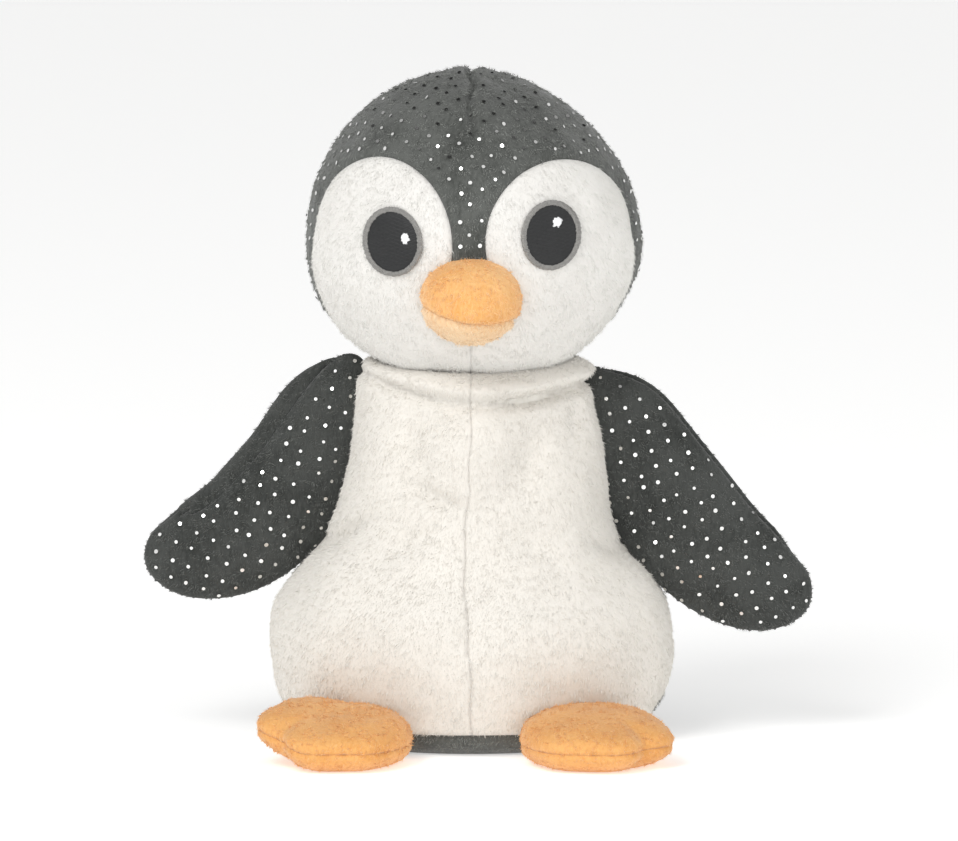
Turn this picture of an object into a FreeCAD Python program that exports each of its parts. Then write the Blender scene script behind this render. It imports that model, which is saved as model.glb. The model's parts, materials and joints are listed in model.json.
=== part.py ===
# A sitting plush penguin, modelled as its sewn fabric panels and the stuffing they hold.
# Millimetres. +Z is up, the toy faces -Y, and its own left side is +X. The origin is the
# middle of the flat base on the surface it sits on.
import FreeCAD, Part
import os

Vector, Rotation, Placement = FreeCAD.Vector, FreeCAD.Rotation, FreeCAD.Placement

SIZES = {
    "fabric": (1.6, "thickness of the pile fabric"),
    "play": (0.4, "free space between parts that move past each other"),
    "reach": (160, "size of the blocks that cut a panel out of a skin"),
    # Head
    "head_half_width": (58, "head, centre to side"),
    "head_half_depth": (54, "head, centre to face"),
    "head_rise": (57.5, "head, widest level to crown"),
    "head_drop": (49, "head, widest level to chin"),
    "chin_sink": (10, "bottom of the head below the top of the collar"),
    "patch_out": (30, "white eye patch, centre from the middle"),
    "patch_up": (4, "white eye patch, centre over the head's widest level"),
    "patch_half_width": (25.5, "white eye patch, half width"),
    "patch_half_height": (29, "white eye patch, half height"),
    "cheek_back": (-17, "edge of the white cheek at the patch's middle level"),
    "cheek_lean": (21.8, "degrees that the cheek edge leans back towards the neck"),
    "peak_down": (11, "lower end of the dark peak below the head's widest level"),
    "crown_back": (10, "seam across the head behind the crown"),
    # Eyes, embroidered on the face
    "eye_in": (3.6, "eye centre from the patch's centre towards the middle"),
    "eye_up": (2, "eye centre over the patch's centre"),
    "eye_half_width": (10, "satin border, outer half width"),
    "eye_half_height": (11.5, "satin border, outer half height"),
    "eye_border": (2.0, "width of the satin border"),
    "stitching": (0.8, "height of the embroidery over the fabric"),
    "glint_radius": (1.4, "white glint in the pupil"),
    # Beak
    "beak_half_width": (17, "beak, half width"),
    "beak_half_depth": (18, "beak, half length"),
    "beak_half_height": (14.5, "beak, half height"),
    "beak_sink": (4, "beak centre behind the front of the head"),
    "beak_down": (12.5, "beak centre below the head's widest level"),
    "beak_seam": (-3.5, "mouth seam against the beak's centre"),
    # Neck
    "neck_radius": (14, "wad of stuffing through the neck opening"),
    "neck_up": (5, "centre that the head nods and turns about, over the bottom of the head"),
    "collar_wider": (16, "hollow in the collar, half width over the head's"),
    "collar_longer": (30, "hollow in the collar, half depth over the head's"),
    "collar_taller": (7, "hollow in the collar, height over the head's"),
    "chin_space": (1.5, "space under the chin"),
    # Torso sections: height, half width and half depth
    "floor_height": (0, "base section, height"),
    "floor_width": (50, "base section, half width"),
    "floor_depth": (38, "base section, half depth"),
    "rim_height": (8, "rim section, height"),
    "rim_width": (61, "rim section, half width"),
    "rim_depth": (47, "rim section, half depth"),
    "belly_height": (28, "belly section, height"),
    "belly_width": (68, "belly section, half width"),
    "belly_depth": (53, "belly section, half depth"),
    "waist_height": (50, "waist section, height"),
    "waist_width": (64, "waist section, half width"),
    "waist_depth": (50, "waist section, half depth"),
    "chest_height": (76, "chest section, height"),
    "chest_width": (50, "chest section, half width"),
    "chest_depth": (43, "chest section, half depth"),
    "shoulder_height": (102, "shoulder section, height"),
    "shoulder_width": (44, "shoulder section, half width"),
    "shoulder_depth": (38, "shoulder section, half depth"),
    "throat_height": (132, "throat section, height"),
    "throat_width": (40, "throat section, half width"),
    "throat_depth": (36, "throat section, half depth"),
    "base_seam": (7, "seam between the base and the panels above"),
    "side_seam": (5, "side seam behind the middle"),
    # Pellet pouch in the seat
    "pouch_margin": (6, "pellet pouch inside the edge of the floor section"),
    "pouch_half_height": (19, "pellet pouch, half height"),
    "pouch_height": (20, "pellet pouch, centre above the base"),
    "pouch_cloth": (0.8, "pellet pouch, cloth thickness"),
    # Flippers: a flat stuffed shape along an arc that starts downwards and ends outwards
    "flipper_offset": (3, "flipper root outside the shoulder"),
    "flipper_back": (2, "middle plane of the flippers behind the middle"),
    "flipper_start": (16, "degrees from straight down at the root"),
    "flipper_end_right": (76, "degrees from straight down at the right tip"),
    "flipper_end_left": (64, "degrees from straight down at the left tip"),
    "flipper_bend_right": (88, "radius of the right flipper's middle line"),
    "flipper_bend_left": (120, "radius of the left flipper's middle line"),
    "flipper_half_width": (21, "flipper, half width"),
    "flipper_half_thickness": (8.5, "flipper, half thickness"),
    "root_drop": (15, "flipper root below the top of the collar"),
    # Feet: an oval pad with three soft toes
    "heel_inset": (25, "heel inside the side of the rim"),
    "heel_sink": (13, "heel behind the front of the rim"),
    "pad_forward": (24, "middle of the foot's pad in front of the heel"),
    "pad_half_length": (24, "foot pad, half length"),
    "pad_half_width": (23, "foot pad, half width"),
    "pad_half_height": (10.5, "foot pad, half height"),
    "toe_forward": (35, "toe centre in front of the heel"),
    "toe_half_length": (15, "toe, half length"),
    "toe_half_width": (12, "toe, half width"),
    "toe_half_height": (9.8, "toe, half height"),
    "foot_height": (9.5, "middle of the foot above the base"),
    "toe_fan": (24, "degrees between toes"),
    "splay_right": (20, "degrees that the right foot points outwards"),
    "splay_left": (12, "degrees that the left foot points outwards"),
    "foot_seam": (9, "seam round the foot above the base"),
    "ankle_forward": (3.4, "hinge line of the foot in front of the heel"),
    "ankle_height": (7, "hinge line of the foot above the base"),
    "foot_lift": (15, "degrees that a foot can be lifted"),
}

# Sizes that follow from the ones above.
FOLLOWING = {
    "chin_height": "sizes.throat_height - sizes.chin_sink",
    "head_height": "sizes.throat_height - sizes.chin_sink + sizes.head_drop",
    "neck_height": "sizes.throat_height - sizes.chin_sink + sizes.neck_up",
    "heel_out": "sizes.rim_width - sizes.heel_inset",
    "heel_forward": "sizes.rim_depth - sizes.heel_sink",
    "flipper_out": "sizes.shoulder_width + sizes.flipper_offset",
    "pouch_half_width": "sizes.floor_width - sizes.pouch_margin",
    "pouch_half_depth": "sizes.floor_depth - sizes.pouch_margin",
}

SIDES = {"right": -1, "left": 1}
TORSO_SECTIONS = ("floor", "rim", "belly", "waist", "chest", "shoulder", "throat")
# Shares of the flipper's length, half width and half thickness at each section.
FLIPPER_SECTIONS = (
    ("shoulder", -0.15, 0.45, 0.45),
    ("root", 0.0, 0.78, 0.75),
    ("upper", 0.22, 0.94, 0.93),
    ("middle", 0.45, 1.0, 1.0),
    ("lower", 0.68, 0.96, 0.95),
    ("hand", 0.87, 0.78, 0.82),
    ("knuckle", 0.96, 0.52, 0.62),
    ("tip", 1.0, 0.22, 0.32),
)
# How far each glint sits from its pupil's centre, towards the toy's left and up.
GLINTS = {"right": (4.4, 1.7), "left": (2.4, 3.4)}

doc = FreeCAD.newDocument("plush_penguin")
sheet = doc.addObject("Spreadsheet::Sheet", "sizes")
nodes = []


def write_sheet():
    """Puts every driving size in the spreadsheet, with its name as the alias."""
    for row, (alias, (value, note)) in enumerate(SIZES.items(), start=1):
        sheet.set(f"A{row}", note)
        sheet.set(f"B{row}", str(value))
        sheet.setAlias(f"B{row}", alias)
    doc.recompute()


def size(alias):
    """A driving size as a number."""
    return float(sheet.get(alias))


def heel_point(sign):
    """A heel, at the height of its hinge line."""
    return Vector(sign * (size("rim_width") - size("heel_inset")), size("heel_sink") - size("rim_depth"),
                  size("ankle_height"))


def bind(thing, **sizes):
    """Binds properties to expressions; a bare alias reads the sheet."""
    for name, expression in sizes.items():
        thing.setExpression(name, str(expression))


def move(thing, across="0", along="0", up="0"):
    """Binds the place of an object to expressions."""
    for axis, expression in zip("xyz", (across, along, up)):
        thing.setExpression(f"Placement.Base.{axis}", str(expression))


def s(alias):
    """The expression that reads one cell, or one of the sizes that follow from the cells."""
    return f"({FOLLOWING[alias]})" if alias in FOLLOWING else f"sizes.{alias}"


def ellipsoid(name, across, along, up, place=("0", "0", "0"), part="whole"):
    """An ellipsoid with its half axes along X, Y and Z; part is whole, upper or lower."""
    thing = doc.addObject("Part::Ellipsoid", name)
    bind(thing, Radius1=up, Radius2=across, Radius3=along)
    thing.Angle1 = 0 if part == "upper" else -90
    thing.Angle2 = 0 if part == "lower" else 90
    move(thing, *place)
    return thing


def block(name, low, high):
    """A box between two corners given as expressions."""
    thing = doc.addObject("Part::Box", name)
    bind(thing, Length=f"({high[0]}) - ({low[0]})", Width=f"({high[1]}) - ({low[1]})",
         Height=f"({high[2]}) - ({low[2]})")
    move(thing, *low)
    return thing


def fuse(name, things):
    thing = doc.addObject("Part::MultiFuse", name)
    thing.Shapes = list(things)
    return thing


def common(name, things):
    thing = doc.addObject("Part::MultiCommon", name)
    thing.Shapes = list(things)
    return thing


def cut(name, base, *tools):
    """The base less each tool in turn."""
    for number, tool in enumerate(tools):
        thing = doc.addObject("Part::Cut", f"{name}_{number}")
        thing.Base, thing.Tool = base, tool
        base = thing
    return base


def loft(name, sections):
    thing = doc.addObject("Part::Loft", name)
    thing.Sections = list(sections)
    thing.Solid, thing.Ruled, thing.Closed = True, False, False
    return thing


def node(label, thing):
    """Names a finished sub-part."""
    thing.Label = label
    nodes.append(thing)
    return thing


def elliptic_rod(name, across, up, out, height):
    """A bar of elliptical section that runs forwards from the middle plane of the head."""
    rim = doc.addObject("Part::Ellipse", f"{name}_rim")
    tall = f"({up}) > ({across})"
    bind(rim, MajorRadius=f"{tall} ? ({up}) : ({across})", MinorRadius=f"{tall} ? ({across}) : ({up})")
    # The ellipse's own X goes up and its normal goes forwards.
    rim.Placement = Placement(Vector(), Rotation(Vector(0, 0, 1), Vector(1, 0, 0), Vector(0, -1, 0), "ZXY"))
    move(rim, out, "0", height)
    rod = doc.addObject("Part::Extrusion", name)
    rod.Base = rim
    rod.DirMode, rod.Solid = "Custom", True
    rod.Dir = Vector(0, -1, 0)
    bind(rod, LengthFwd=s("reach"))
    return rod


# ------------------------------------------------------------------ torso

def torso_loft(name, grow, floor_rise="0"):
    """The torso's pear shape, larger all round by grow."""
    rings = []
    for place in TORSO_SECTIONS:
        ring = doc.addObject("Part::Ellipse", f"{name}_{place}")
        bind(ring, MajorRadius=f"{s(place + '_width')} + {grow}", MinorRadius=f"{s(place + '_depth')} + {grow}")
        rise = floor_rise if place == "floor" else "0"
        move(ring, up=f"{s(place + '_height')} + {rise}")
        rings.append(ring)
    return loft(name, rings)


def build_torso(neck_space):
    """Panels, base, stuffing and the pellet pouch of the torso."""
    outer = torso_loft("torso_outer", "0")
    inner = torso_loft("torso_inner", f"-{s('fabric')}", s("fabric"))
    collar_drop = f"({s('head_drop')} + {s('collar_taller')})"
    collar = ellipsoid(
        "collar_hollow", f"{s('head_half_width')} + {s('collar_wider')}",
        f"{s('head_half_depth')} + {s('collar_longer')}", collar_drop,
        ("0", "0", f"{s('chin_height')} - {s('chin_space')} + {collar_drop}"))
    shell = cut("torso_skin", outer, inner, collar)
    reach = s("reach")
    regions = {
        "belly_right": ((f"-{reach}", f"-{reach}", s("base_seam")), ("0", s("side_seam"), reach)),
        "belly_left": (("0", f"-{reach}", s("base_seam")), (reach, s("side_seam"), reach)),
        "back_right": ((f"-{reach}", s("side_seam"), s("base_seam")), ("0", reach, reach)),
        "back_left": (("0", s("side_seam"), s("base_seam")), (reach, reach, reach)),
        "base_panel": ((f"-{reach}", f"-{reach}", f"-{reach}"), (reach, reach, s("base_seam"))),
    }
    for label, (low, high) in regions.items():
        node(label, common(f"{label}_cut", (shell, block(f"{label}_region", low, high))))

    above_base = block("above_base", (f"-{reach}", f"-{reach}", s("fabric")), (reach, reach, reach))
    pouch_place = ("0", "0", s("pouch_height"))
    pouch_outer = common("pouch_outer", (above_base, ellipsoid(
        "pouch_round", s("pouch_half_width"), s("pouch_half_depth"), s("pouch_half_height"), pouch_place)))
    cloth = s("pouch_cloth")
    above_cloth = block("above_cloth", (f"-{reach}", f"-{reach}", f"{s('fabric')} + {cloth}"), (reach, reach, reach))
    pellets = common("pellets", (above_cloth, ellipsoid(
        "pellets_round", f"{s('pouch_half_width')} - {cloth}", f"{s('pouch_half_depth')} - {cloth}",
        f"{s('pouch_half_height')} - {cloth}", pouch_place)))
    node("pellet_pouch", cut("pouch_skin", pouch_outer, pellets))
    node("pellet_fill", pellets)
    node("torso_stuffing", cut("torso_fill", inner, collar, pouch_outer, neck_space))


# ------------------------------------------------------------------ head

def head_shape(name, shrink="0"):
    """The head: an egg that is fuller above its widest level than below it."""
    halves = []
    for part, rise in (("upper", "head_rise"), ("lower", "head_drop")):
        halves.append(ellipsoid(
            f"{name}_{part}", f"{s('head_half_width')} - {shrink}", f"{s('head_half_depth')} - {shrink}",
            f"{s(rise)} - {shrink}", ("0", "0", s("head_height")), part))
    return fuse(name, halves)


def face_region():
    """The space of the white face: two round eye patches and the cheeks and chin below."""
    patch = f"{s('head_height')} + {s('patch_up')}"
    peak = f"{s('head_height')} - {s('peak_down')}"
    patches = [elliptic_rod(f"patch_{side}", s("patch_half_width"), s("patch_half_height"),
                            f"{sign} * {s('patch_out')}", patch) for side, sign in SIDES.items()]
    reach = s("reach")
    chin = block("chin_region", (f"-{reach}", f"-{reach}", "0"), (reach, reach, peak))
    cheeks = [block(f"cheek_{side}_region", (low, f"-{reach}", "0"), (high, reach, patch))
              for side, low, high in (("right", f"-{reach}", f"-{s('patch_out')}"), ("left", s("patch_out"), reach))]
    front = doc.addObject("Part::Box", "cheek_front")
    bind(front, Length=f"2 * {reach}", Width=reach, Height=f"2 * {reach}")
    # Its back face is the seam: it passes behind the patches and leans back towards the neck.
    lean = Rotation(Vector(1, 0, 0), size("cheek_lean"))
    patch_height = size("throat_height") - size("chin_sink") + size("head_drop") + size("patch_up")
    edge = Vector(-size("reach"), size("cheek_back"), patch_height)
    front.Placement = Placement(edge - lean.multVec(Vector(0, size("reach"), size("reach"))), lean)
    below = common("cheek_space", (front, fuse("cheek_blocks", [chin] + cheeks)))
    return fuse("face_space", patches + [below])


def build_eye(side, sign, outer, raised):
    """Border, pupil and glint, as raised stitching on the face."""
    out = f"{sign} * ({s('patch_out')} - {s('eye_in')})"
    height = f"{s('head_height')} + {s('patch_up')} + {s('eye_up')}"
    border = s("eye_border")
    whole = elliptic_rod(f"eye_{side}_whole", s("eye_half_width"), s("eye_half_height"), out, height)
    inside = elliptic_rod(f"eye_{side}_inside", f"{s('eye_half_width')} - {border}",
                          f"{s('eye_half_height')} - {border}", out, height)
    aside, over = GLINTS[side]
    spot = elliptic_rod(f"eye_{side}_spot", s("glint_radius"), f"1.2 * {s('glint_radius')}",
                        f"{out} + {aside}", f"{height} + {over}")
    stitched = cut(f"eye_{side}_stitched", common(f"eye_{side}_raised", (raised, whole)), outer)
    node(f"{side}_eye_border", cut(f"eye_{side}_ring", stitched, inside))
    pupil = common(f"eye_{side}_disc", (stitched, inside))
    node(f"{side}_eye_pupil", cut(f"eye_{side}_pupil", pupil, spot))
    node(f"{side}_eye_glint", common(f"eye_{side}_glint", (pupil, spot)))


def build_beak(outer):
    """Upper and lower beak panels and their stuffing, sewn on the front of the head."""
    height = f"{s('head_height')} - {s('beak_down')}"
    place = ("0", f"{s('beak_sink')} - {s('head_half_depth')}", height)
    full = ellipsoid("beak_full", s("beak_half_width"), s("beak_half_depth"), s("beak_half_height"), place)
    fill = ellipsoid("beak_fill", *(f"{s('beak_half_' + way)} - {s('fabric')}" for way in ("width", "depth", "height")),
                     place)
    shell = cut("beak_skin", full, fill, outer)
    reach, mouth = s("reach"), f"{height} + {s('beak_seam')}"
    for label, low, high in (("beak_upper", mouth, f"2 * {reach}"), ("beak_lower", "0", mouth)):
        region = block(f"{label}_region", (f"-{reach}", f"-{reach}", low), (reach, reach, high))
        node(label, common(f"{label}_cut", (shell, region)))
    node("beak_stuffing", cut("beak_core", fill, outer))


def build_head(neck_space):
    """Face, crown and back panels, eyes, beak and stuffing of the head."""
    outer, inner = head_shape("head_outer"), head_shape("head_inner", s("fabric"))
    shell = cut("head_skin", outer, inner, neck_space)
    face = face_region()
    white = common("face_skin", (shell, face))
    reach = s("reach")
    right = (f"-{reach}", f"-{reach}", "0"), ("0", reach, f"2 * {reach}")
    left = ("0", f"-{reach}", "0"), (reach, reach, f"2 * {reach}")
    for side, corners in (("right", right), ("left", left)):
        half = block(f"half_{side}", *corners)
        node(f"face_{side}", common(f"face_{side}_cut", (white, half)))
    dark = cut("hood_skin", shell, face)
    front = block("crown_region", (f"-{reach}", f"-{reach}", "0"), (reach, s("crown_back"), f"2 * {reach}"))
    node("crown_panel", common("crown_cut", (dark, front)))
    for side, low, high in (("right", f"-{reach}", "0"), ("left", "0", reach)):
        rear = block(f"head_back_{side}_region", (low, s("crown_back"), "0"), (high, reach, f"2 * {reach}"))
        node(f"head_back_{side}", common(f"head_back_{side}_cut", (dark, rear)))
    node("head_stuffing", cut("head_fill", inner, neck_space))
    raised = head_shape("head_raised", f"(0 - {s('stitching')})")
    for side, sign in SIDES.items():
        build_eye(side, sign, outer, raised)
    build_beak(outer)


def build_neck():
    """The wad of stuffing in the neck opening, and the space it turns in."""
    wad, space = (doc.addObject("Part::Sphere", name) for name in ("neck_wad", "neck_space"))
    bind(wad, Radius=s("neck_radius"))
    bind(space, Radius=f"{s('neck_radius')} + {s('play')}")
    for ball in (wad, space):
        move(ball, up=s("neck_height"))
    node("neck_stuffing", wad)
    return space


# ------------------------------------------------------------------ flippers

def flipper_loft(name, side, sign, shrink="0", closed=0.0):
    """A flat leaf along an arc; closed shortens both ends by a share of its length."""
    rings = []
    first = FLIPPER_SECTIONS[0][1]
    for place, travel, wide, thick in FLIPPER_SECTIONS:
        along = min(max(travel, first + closed), 1 - closed)
        start = s("flipper_start")
        heading = f"({start} + {along} * ({s('flipper_end_' + side)} - {start}))"
        ring = doc.addObject("Part::Ellipse", f"{name}_{place}")
        bind(ring, MajorRadius=f"{wide} * {s('flipper_half_width')} - {shrink}",
             MinorRadius=f"{thick} * {s('flipper_half_thickness')} - {shrink}")
        ring.Placement = Placement(Vector(), Rotation(Vector(0, sign, 0), 90))
        ring.setExpression("Placement.Rotation.Angle", f"(180 - {heading}) * 1 deg")
        bend = s(f"flipper_bend_{side}")
        move(ring, f"{sign} * ({s('flipper_out')} + {bend} * (cos({start}) - cos({heading})))", s("flipper_back"),
             f"{s('throat_height')} - {s('root_drop')} - {bend} * (sin({heading}) - sin({start}))")
        rings.append(ring)
    return loft(name, rings)


def build_flipper(side, sign, torso_space):
    """Front and back panels of a flipper, and its stuffing."""
    outer = flipper_loft(f"flipper_{side}_outer", side, sign)
    inner = flipper_loft(f"flipper_{side}_inner", side, sign, s("fabric"), 0.02)
    shell = cut(f"flipper_{side}_skin", outer, inner, torso_space)
    reach, middle = s("reach"), s("flipper_back")
    for face, low, high in (("front", f"-{reach}", middle), ("back", middle, reach)):
        region = block(f"flipper_{side}_{face}_region", (f"-{reach}", low, f"-{reach}"), (reach, high, reach))
        node(f"{side}_flipper_{face}", common(f"flipper_{side}_{face}_cut", (shell, region)))
    node(f"{side}_flipper_stuffing", cut(f"flipper_{side}_fill", inner, torso_space))


# ------------------------------------------------------------------ feet

def foot_shape(name, side, sign, shrink="0"):
    """An oval pad with three toes that fan out from the heel."""
    lobes = []
    for lobe, kind, step in (("pad", "pad", 0), ("outer", "toe", 1), ("middle", "toe", 0), ("inner", "toe", -1)):
        angle = size(f"splay_{side}") + step * size("toe_fan")
        heading = f"({s('splay_' + side)} + {step} * {s('toe_fan')})"
        ahead = s(f"{kind}_forward")
        thing = ellipsoid(
            f"{name}_{lobe}", f"{s(kind + '_half_width')} - {shrink}", f"{s(kind + '_half_length')} - {shrink}",
            f"{s(kind + '_half_height')} - {shrink}",
            (f"{sign} * ({s('heel_out')} + {ahead} * sin({heading}))",
             f"-{s('heel_forward')} - {ahead} * cos({heading})", s("foot_height")))
        thing.Placement = Placement(thing.Placement.Base, Rotation(Vector(0, 0, 1), sign * angle))
        lobes.append(thing)
    return fuse(name, lobes)


def ankle(side, sign):
    """The point and direction of a foot's hinge line; turning about it lifts the toes."""
    heading = Rotation(Vector(0, 0, 1), sign * size(f"splay_{side}"))
    ahead = heading.multVec(Vector(0, -size("ankle_forward"), 0))
    return heel_point(sign) + ahead, heading.multVec(Vector(-1, 0, 0))


def build_foot(side, sign, torso_space):
    """Top and sole panels of a foot, and its stuffing."""
    outer = foot_shape(f"foot_{side}_outer", side, sign)
    inner = foot_shape(f"foot_{side}_inner", side, sign, s("fabric"))
    point, axis = ankle(side, sign)
    # The torso as the foot sees it when lifted: its upper heel is cut away by that much.
    lifted = doc.addObject("Part::Compound", f"torso_seen_by_{side}_foot")
    lifted.Links = [torso_space]
    turn = Rotation(axis, -size("foot_lift"))
    lifted.Placement = Placement(point - turn.multVec(point), turn)
    behind = doc.addObject("Part::Box", f"behind_{side}_ankle")
    bind(behind, Length=f"2 * {s('reach')}", Width=s("reach"), Height=f"2 * {s('reach')}")
    heading = Rotation(Vector(0, 0, 1), sign * size(f"splay_{side}"))
    corner = heading.multVec(Vector(-size("reach"), 0, -size("reach")))
    behind.Placement = Placement(point + corner, heading)

    reach = s("reach")
    spaces = (torso_space, lifted, behind)
    on_floor = block(f"foot_{side}_room", (f"-{reach}", f"-{reach}", "0"), (reach, reach, reach))
    over_sole = block(f"foot_{side}_inside", (f"-{reach}", f"-{reach}", s("fabric")), (reach, reach, reach))
    whole = cut(f"foot_{side}_whole", common(f"foot_{side}_body", (outer, on_floor)), *spaces)
    fill = cut(f"foot_{side}_core", common(f"foot_{side}_fill", (inner, over_sole)), *spaces)
    skin = cut(f"foot_{side}_skin", whole, fill)
    for part, low, high in (("top", s("foot_seam"), reach), ("sole", "0", s("foot_seam"))):
        region = block(f"foot_{side}_{part}_region", (f"-{reach}", f"-{reach}", low), (reach, reach, high))
        node(f"{side}_foot_{part}", common(f"foot_{side}_{part}_cut", (skin, region)))
    node(f"{side}_foot_stuffing", fill)


def check():
    """Stops on any object that failed and on any sub-part that isn't a valid solid."""
    for thing in doc.Objects:
        if "Invalid" in thing.State or "Error" in thing.State:
            raise RuntimeError(f"{thing.Name} failed: {thing.State}")
    for thing in nodes:
        shape = thing.Shape
        if shape.isNull() or not shape.isValid() or not shape.Solids:
            raise RuntimeError(f"{thing.Label} is not a valid solid")
        print(f"{thing.Label}: {len(shape.Solids)} solids, {shape.Volume / 1000:.2f} cm3")


def main():
    write_sheet()
    neck_space = build_neck()
    build_torso(neck_space)
    build_head(neck_space)
    torso_space = torso_loft("torso_space", s("play"))
    for side, sign in SIDES.items():
        build_flipper(side, sign, torso_space)
        build_foot(side, sign, torso_space)
    doc.recompute()
    check()
    os.makedirs("parts", exist_ok=True)
    for thing in nodes:
        thing.Shape.exportStep(f"parts/{thing.Label}.step")


main()
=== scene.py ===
"""A sitting plush penguin: sewn pile-fabric panels over stuffing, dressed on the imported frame.

Sizes are in millimetres until a mesh is finished, when it is scaled to metres. +Z is up, the toy
faces -Y, and its own left side is +X.
"""

import json
import logging
import math
import random
from dataclasses import dataclass, field
from enum import Enum
from typing import Callable, Iterator, Optional, Sequence

import bmesh
import bpy
from mathutils import Matrix, Vector, noise
from mathutils.bvhtree import BVHTree
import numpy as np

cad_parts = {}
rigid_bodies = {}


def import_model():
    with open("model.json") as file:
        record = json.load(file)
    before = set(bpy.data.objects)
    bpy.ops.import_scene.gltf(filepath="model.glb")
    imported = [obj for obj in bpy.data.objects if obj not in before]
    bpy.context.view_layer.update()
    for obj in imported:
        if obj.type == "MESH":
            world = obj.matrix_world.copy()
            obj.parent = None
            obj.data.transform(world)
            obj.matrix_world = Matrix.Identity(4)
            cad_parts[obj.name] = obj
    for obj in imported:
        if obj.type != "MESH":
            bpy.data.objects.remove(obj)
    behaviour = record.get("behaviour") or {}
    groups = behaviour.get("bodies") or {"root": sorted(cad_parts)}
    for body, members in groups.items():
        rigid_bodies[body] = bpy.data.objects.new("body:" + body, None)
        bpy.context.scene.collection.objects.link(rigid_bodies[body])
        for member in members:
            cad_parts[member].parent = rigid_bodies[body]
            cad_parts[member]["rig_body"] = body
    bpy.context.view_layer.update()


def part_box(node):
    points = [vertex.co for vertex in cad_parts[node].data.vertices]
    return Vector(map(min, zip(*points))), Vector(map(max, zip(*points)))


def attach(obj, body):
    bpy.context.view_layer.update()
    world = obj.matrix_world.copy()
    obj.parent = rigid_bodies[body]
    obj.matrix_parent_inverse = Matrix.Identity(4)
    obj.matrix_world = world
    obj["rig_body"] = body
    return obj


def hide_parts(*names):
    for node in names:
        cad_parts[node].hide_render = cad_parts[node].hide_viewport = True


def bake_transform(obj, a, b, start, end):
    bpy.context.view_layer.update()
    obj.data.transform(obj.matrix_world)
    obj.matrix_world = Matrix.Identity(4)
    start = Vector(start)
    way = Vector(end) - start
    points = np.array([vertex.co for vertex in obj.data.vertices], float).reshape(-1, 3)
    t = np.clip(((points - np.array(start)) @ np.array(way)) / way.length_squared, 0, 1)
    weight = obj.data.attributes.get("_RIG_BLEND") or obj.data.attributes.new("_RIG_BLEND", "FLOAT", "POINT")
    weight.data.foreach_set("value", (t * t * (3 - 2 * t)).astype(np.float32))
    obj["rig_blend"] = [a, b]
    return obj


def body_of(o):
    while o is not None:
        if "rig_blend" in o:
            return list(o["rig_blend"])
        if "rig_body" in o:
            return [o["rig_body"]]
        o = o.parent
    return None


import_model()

MM = 0.001
UP = Vector((0.0, 0.0, 1.0))
log = logging.getLogger("penguin")

Field = Callable[[Vector], float]
Ray = tuple[Vector, Vector]


# ------------------------------------------------------------------ small tools


def linear(colour: str) -> tuple[float, float, float, float]:
    """Turns an sRGB hex colour into linear light.

    Args:
        colour: Six hex digits.

    Returns:
        Red, green, blue and an alpha of 1.
    """
    parts = (int(colour[i:i + 2], 16) / 255 for i in (0, 2, 4))
    return tuple(c / 12.92 if c <= 0.04045 else ((c + 0.055) / 1.055) ** 2.4 for c in parts) + (1.0,)


def bell(distance: float, width: float) -> float:
    """Gives a smooth bump: 1 in its middle, and next to nothing past twice its width.

    Args:
        distance: How far the point is from the bump's middle.
        width: Where the bump has fallen to about a third.

    Returns:
        The bump's height there.
    """
    return math.exp(-(distance / width) ** 2)


def ramp(value: float, low: float, high: float) -> float:
    """Gives a smooth step.

    Args:
        value: The place on the step.
        low: Where the step starts to rise from 0.
        high: Where it has reached 1.

    Returns:
        The step's height there, from 0 to 1.
    """
    share = min(1.0, max(0.0, (value - low) / (high - low)))
    return share * share * (3 - 2 * share)


def read_table(table: Sequence[Sequence[float]], at: float, column: int = 1) -> float:
    """Reads a table of sizes with a smooth curve through its rows.

    Args:
        table: Rows that start with the place, in rising order.
        at: The place to read.
        column: Which size to read.

    Returns:
        The size there, level past either end.
    """
    if at <= table[0][0]:
        return table[0][column]
    for below, above in zip(table, table[1:]):
        if at <= above[0]:
            break
    else:
        return table[-1][column]
    k = table.index(below)

    def slope(row: int) -> float:
        """Gives the curve's slope at one row.

        Args:
            row: The row's number.

        Returns:
            The slope between its neighbours.
        """
        a, b = table[max(row - 1, 0)], table[min(row + 1, len(table) - 1)]
        return (b[column] - a[column]) / (b[0] - a[0])

    step = above[0] - below[0]
    t = (at - below[0]) / step
    return ((2 * t ** 3 - 3 * t ** 2 + 1) * below[column] + (t ** 3 - 2 * t ** 2 + t) * step * slope(k)
            + (3 * t ** 2 - 2 * t ** 3) * above[column] + (t ** 3 - t ** 2) * step * slope(k + 1))


def add(tree: bpy.types.NodeTree, kind: str, inputs: Optional[dict] = None,
        **settings: object) -> bpy.types.Node:
    """Adds a node with its settings and links.

    Args:
        tree: The node tree.
        kind: Blender's name for the node.
        inputs: Socket names or numbers, each with a value or with the output socket that feeds it.
        **settings: Properties of the node.

    Returns:
        The node.
    """
    node = tree.nodes.new(kind)
    for name, value in settings.items():
        setattr(node, name, value)
    for key, value in (inputs or {}).items():
        if isinstance(value, bpy.types.NodeSocket):
            tree.links.new(value, node.inputs[key])
        else:
            node.inputs[key].default_value = value
    return node


# ------------------------------------------------------------------ finishes


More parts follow.
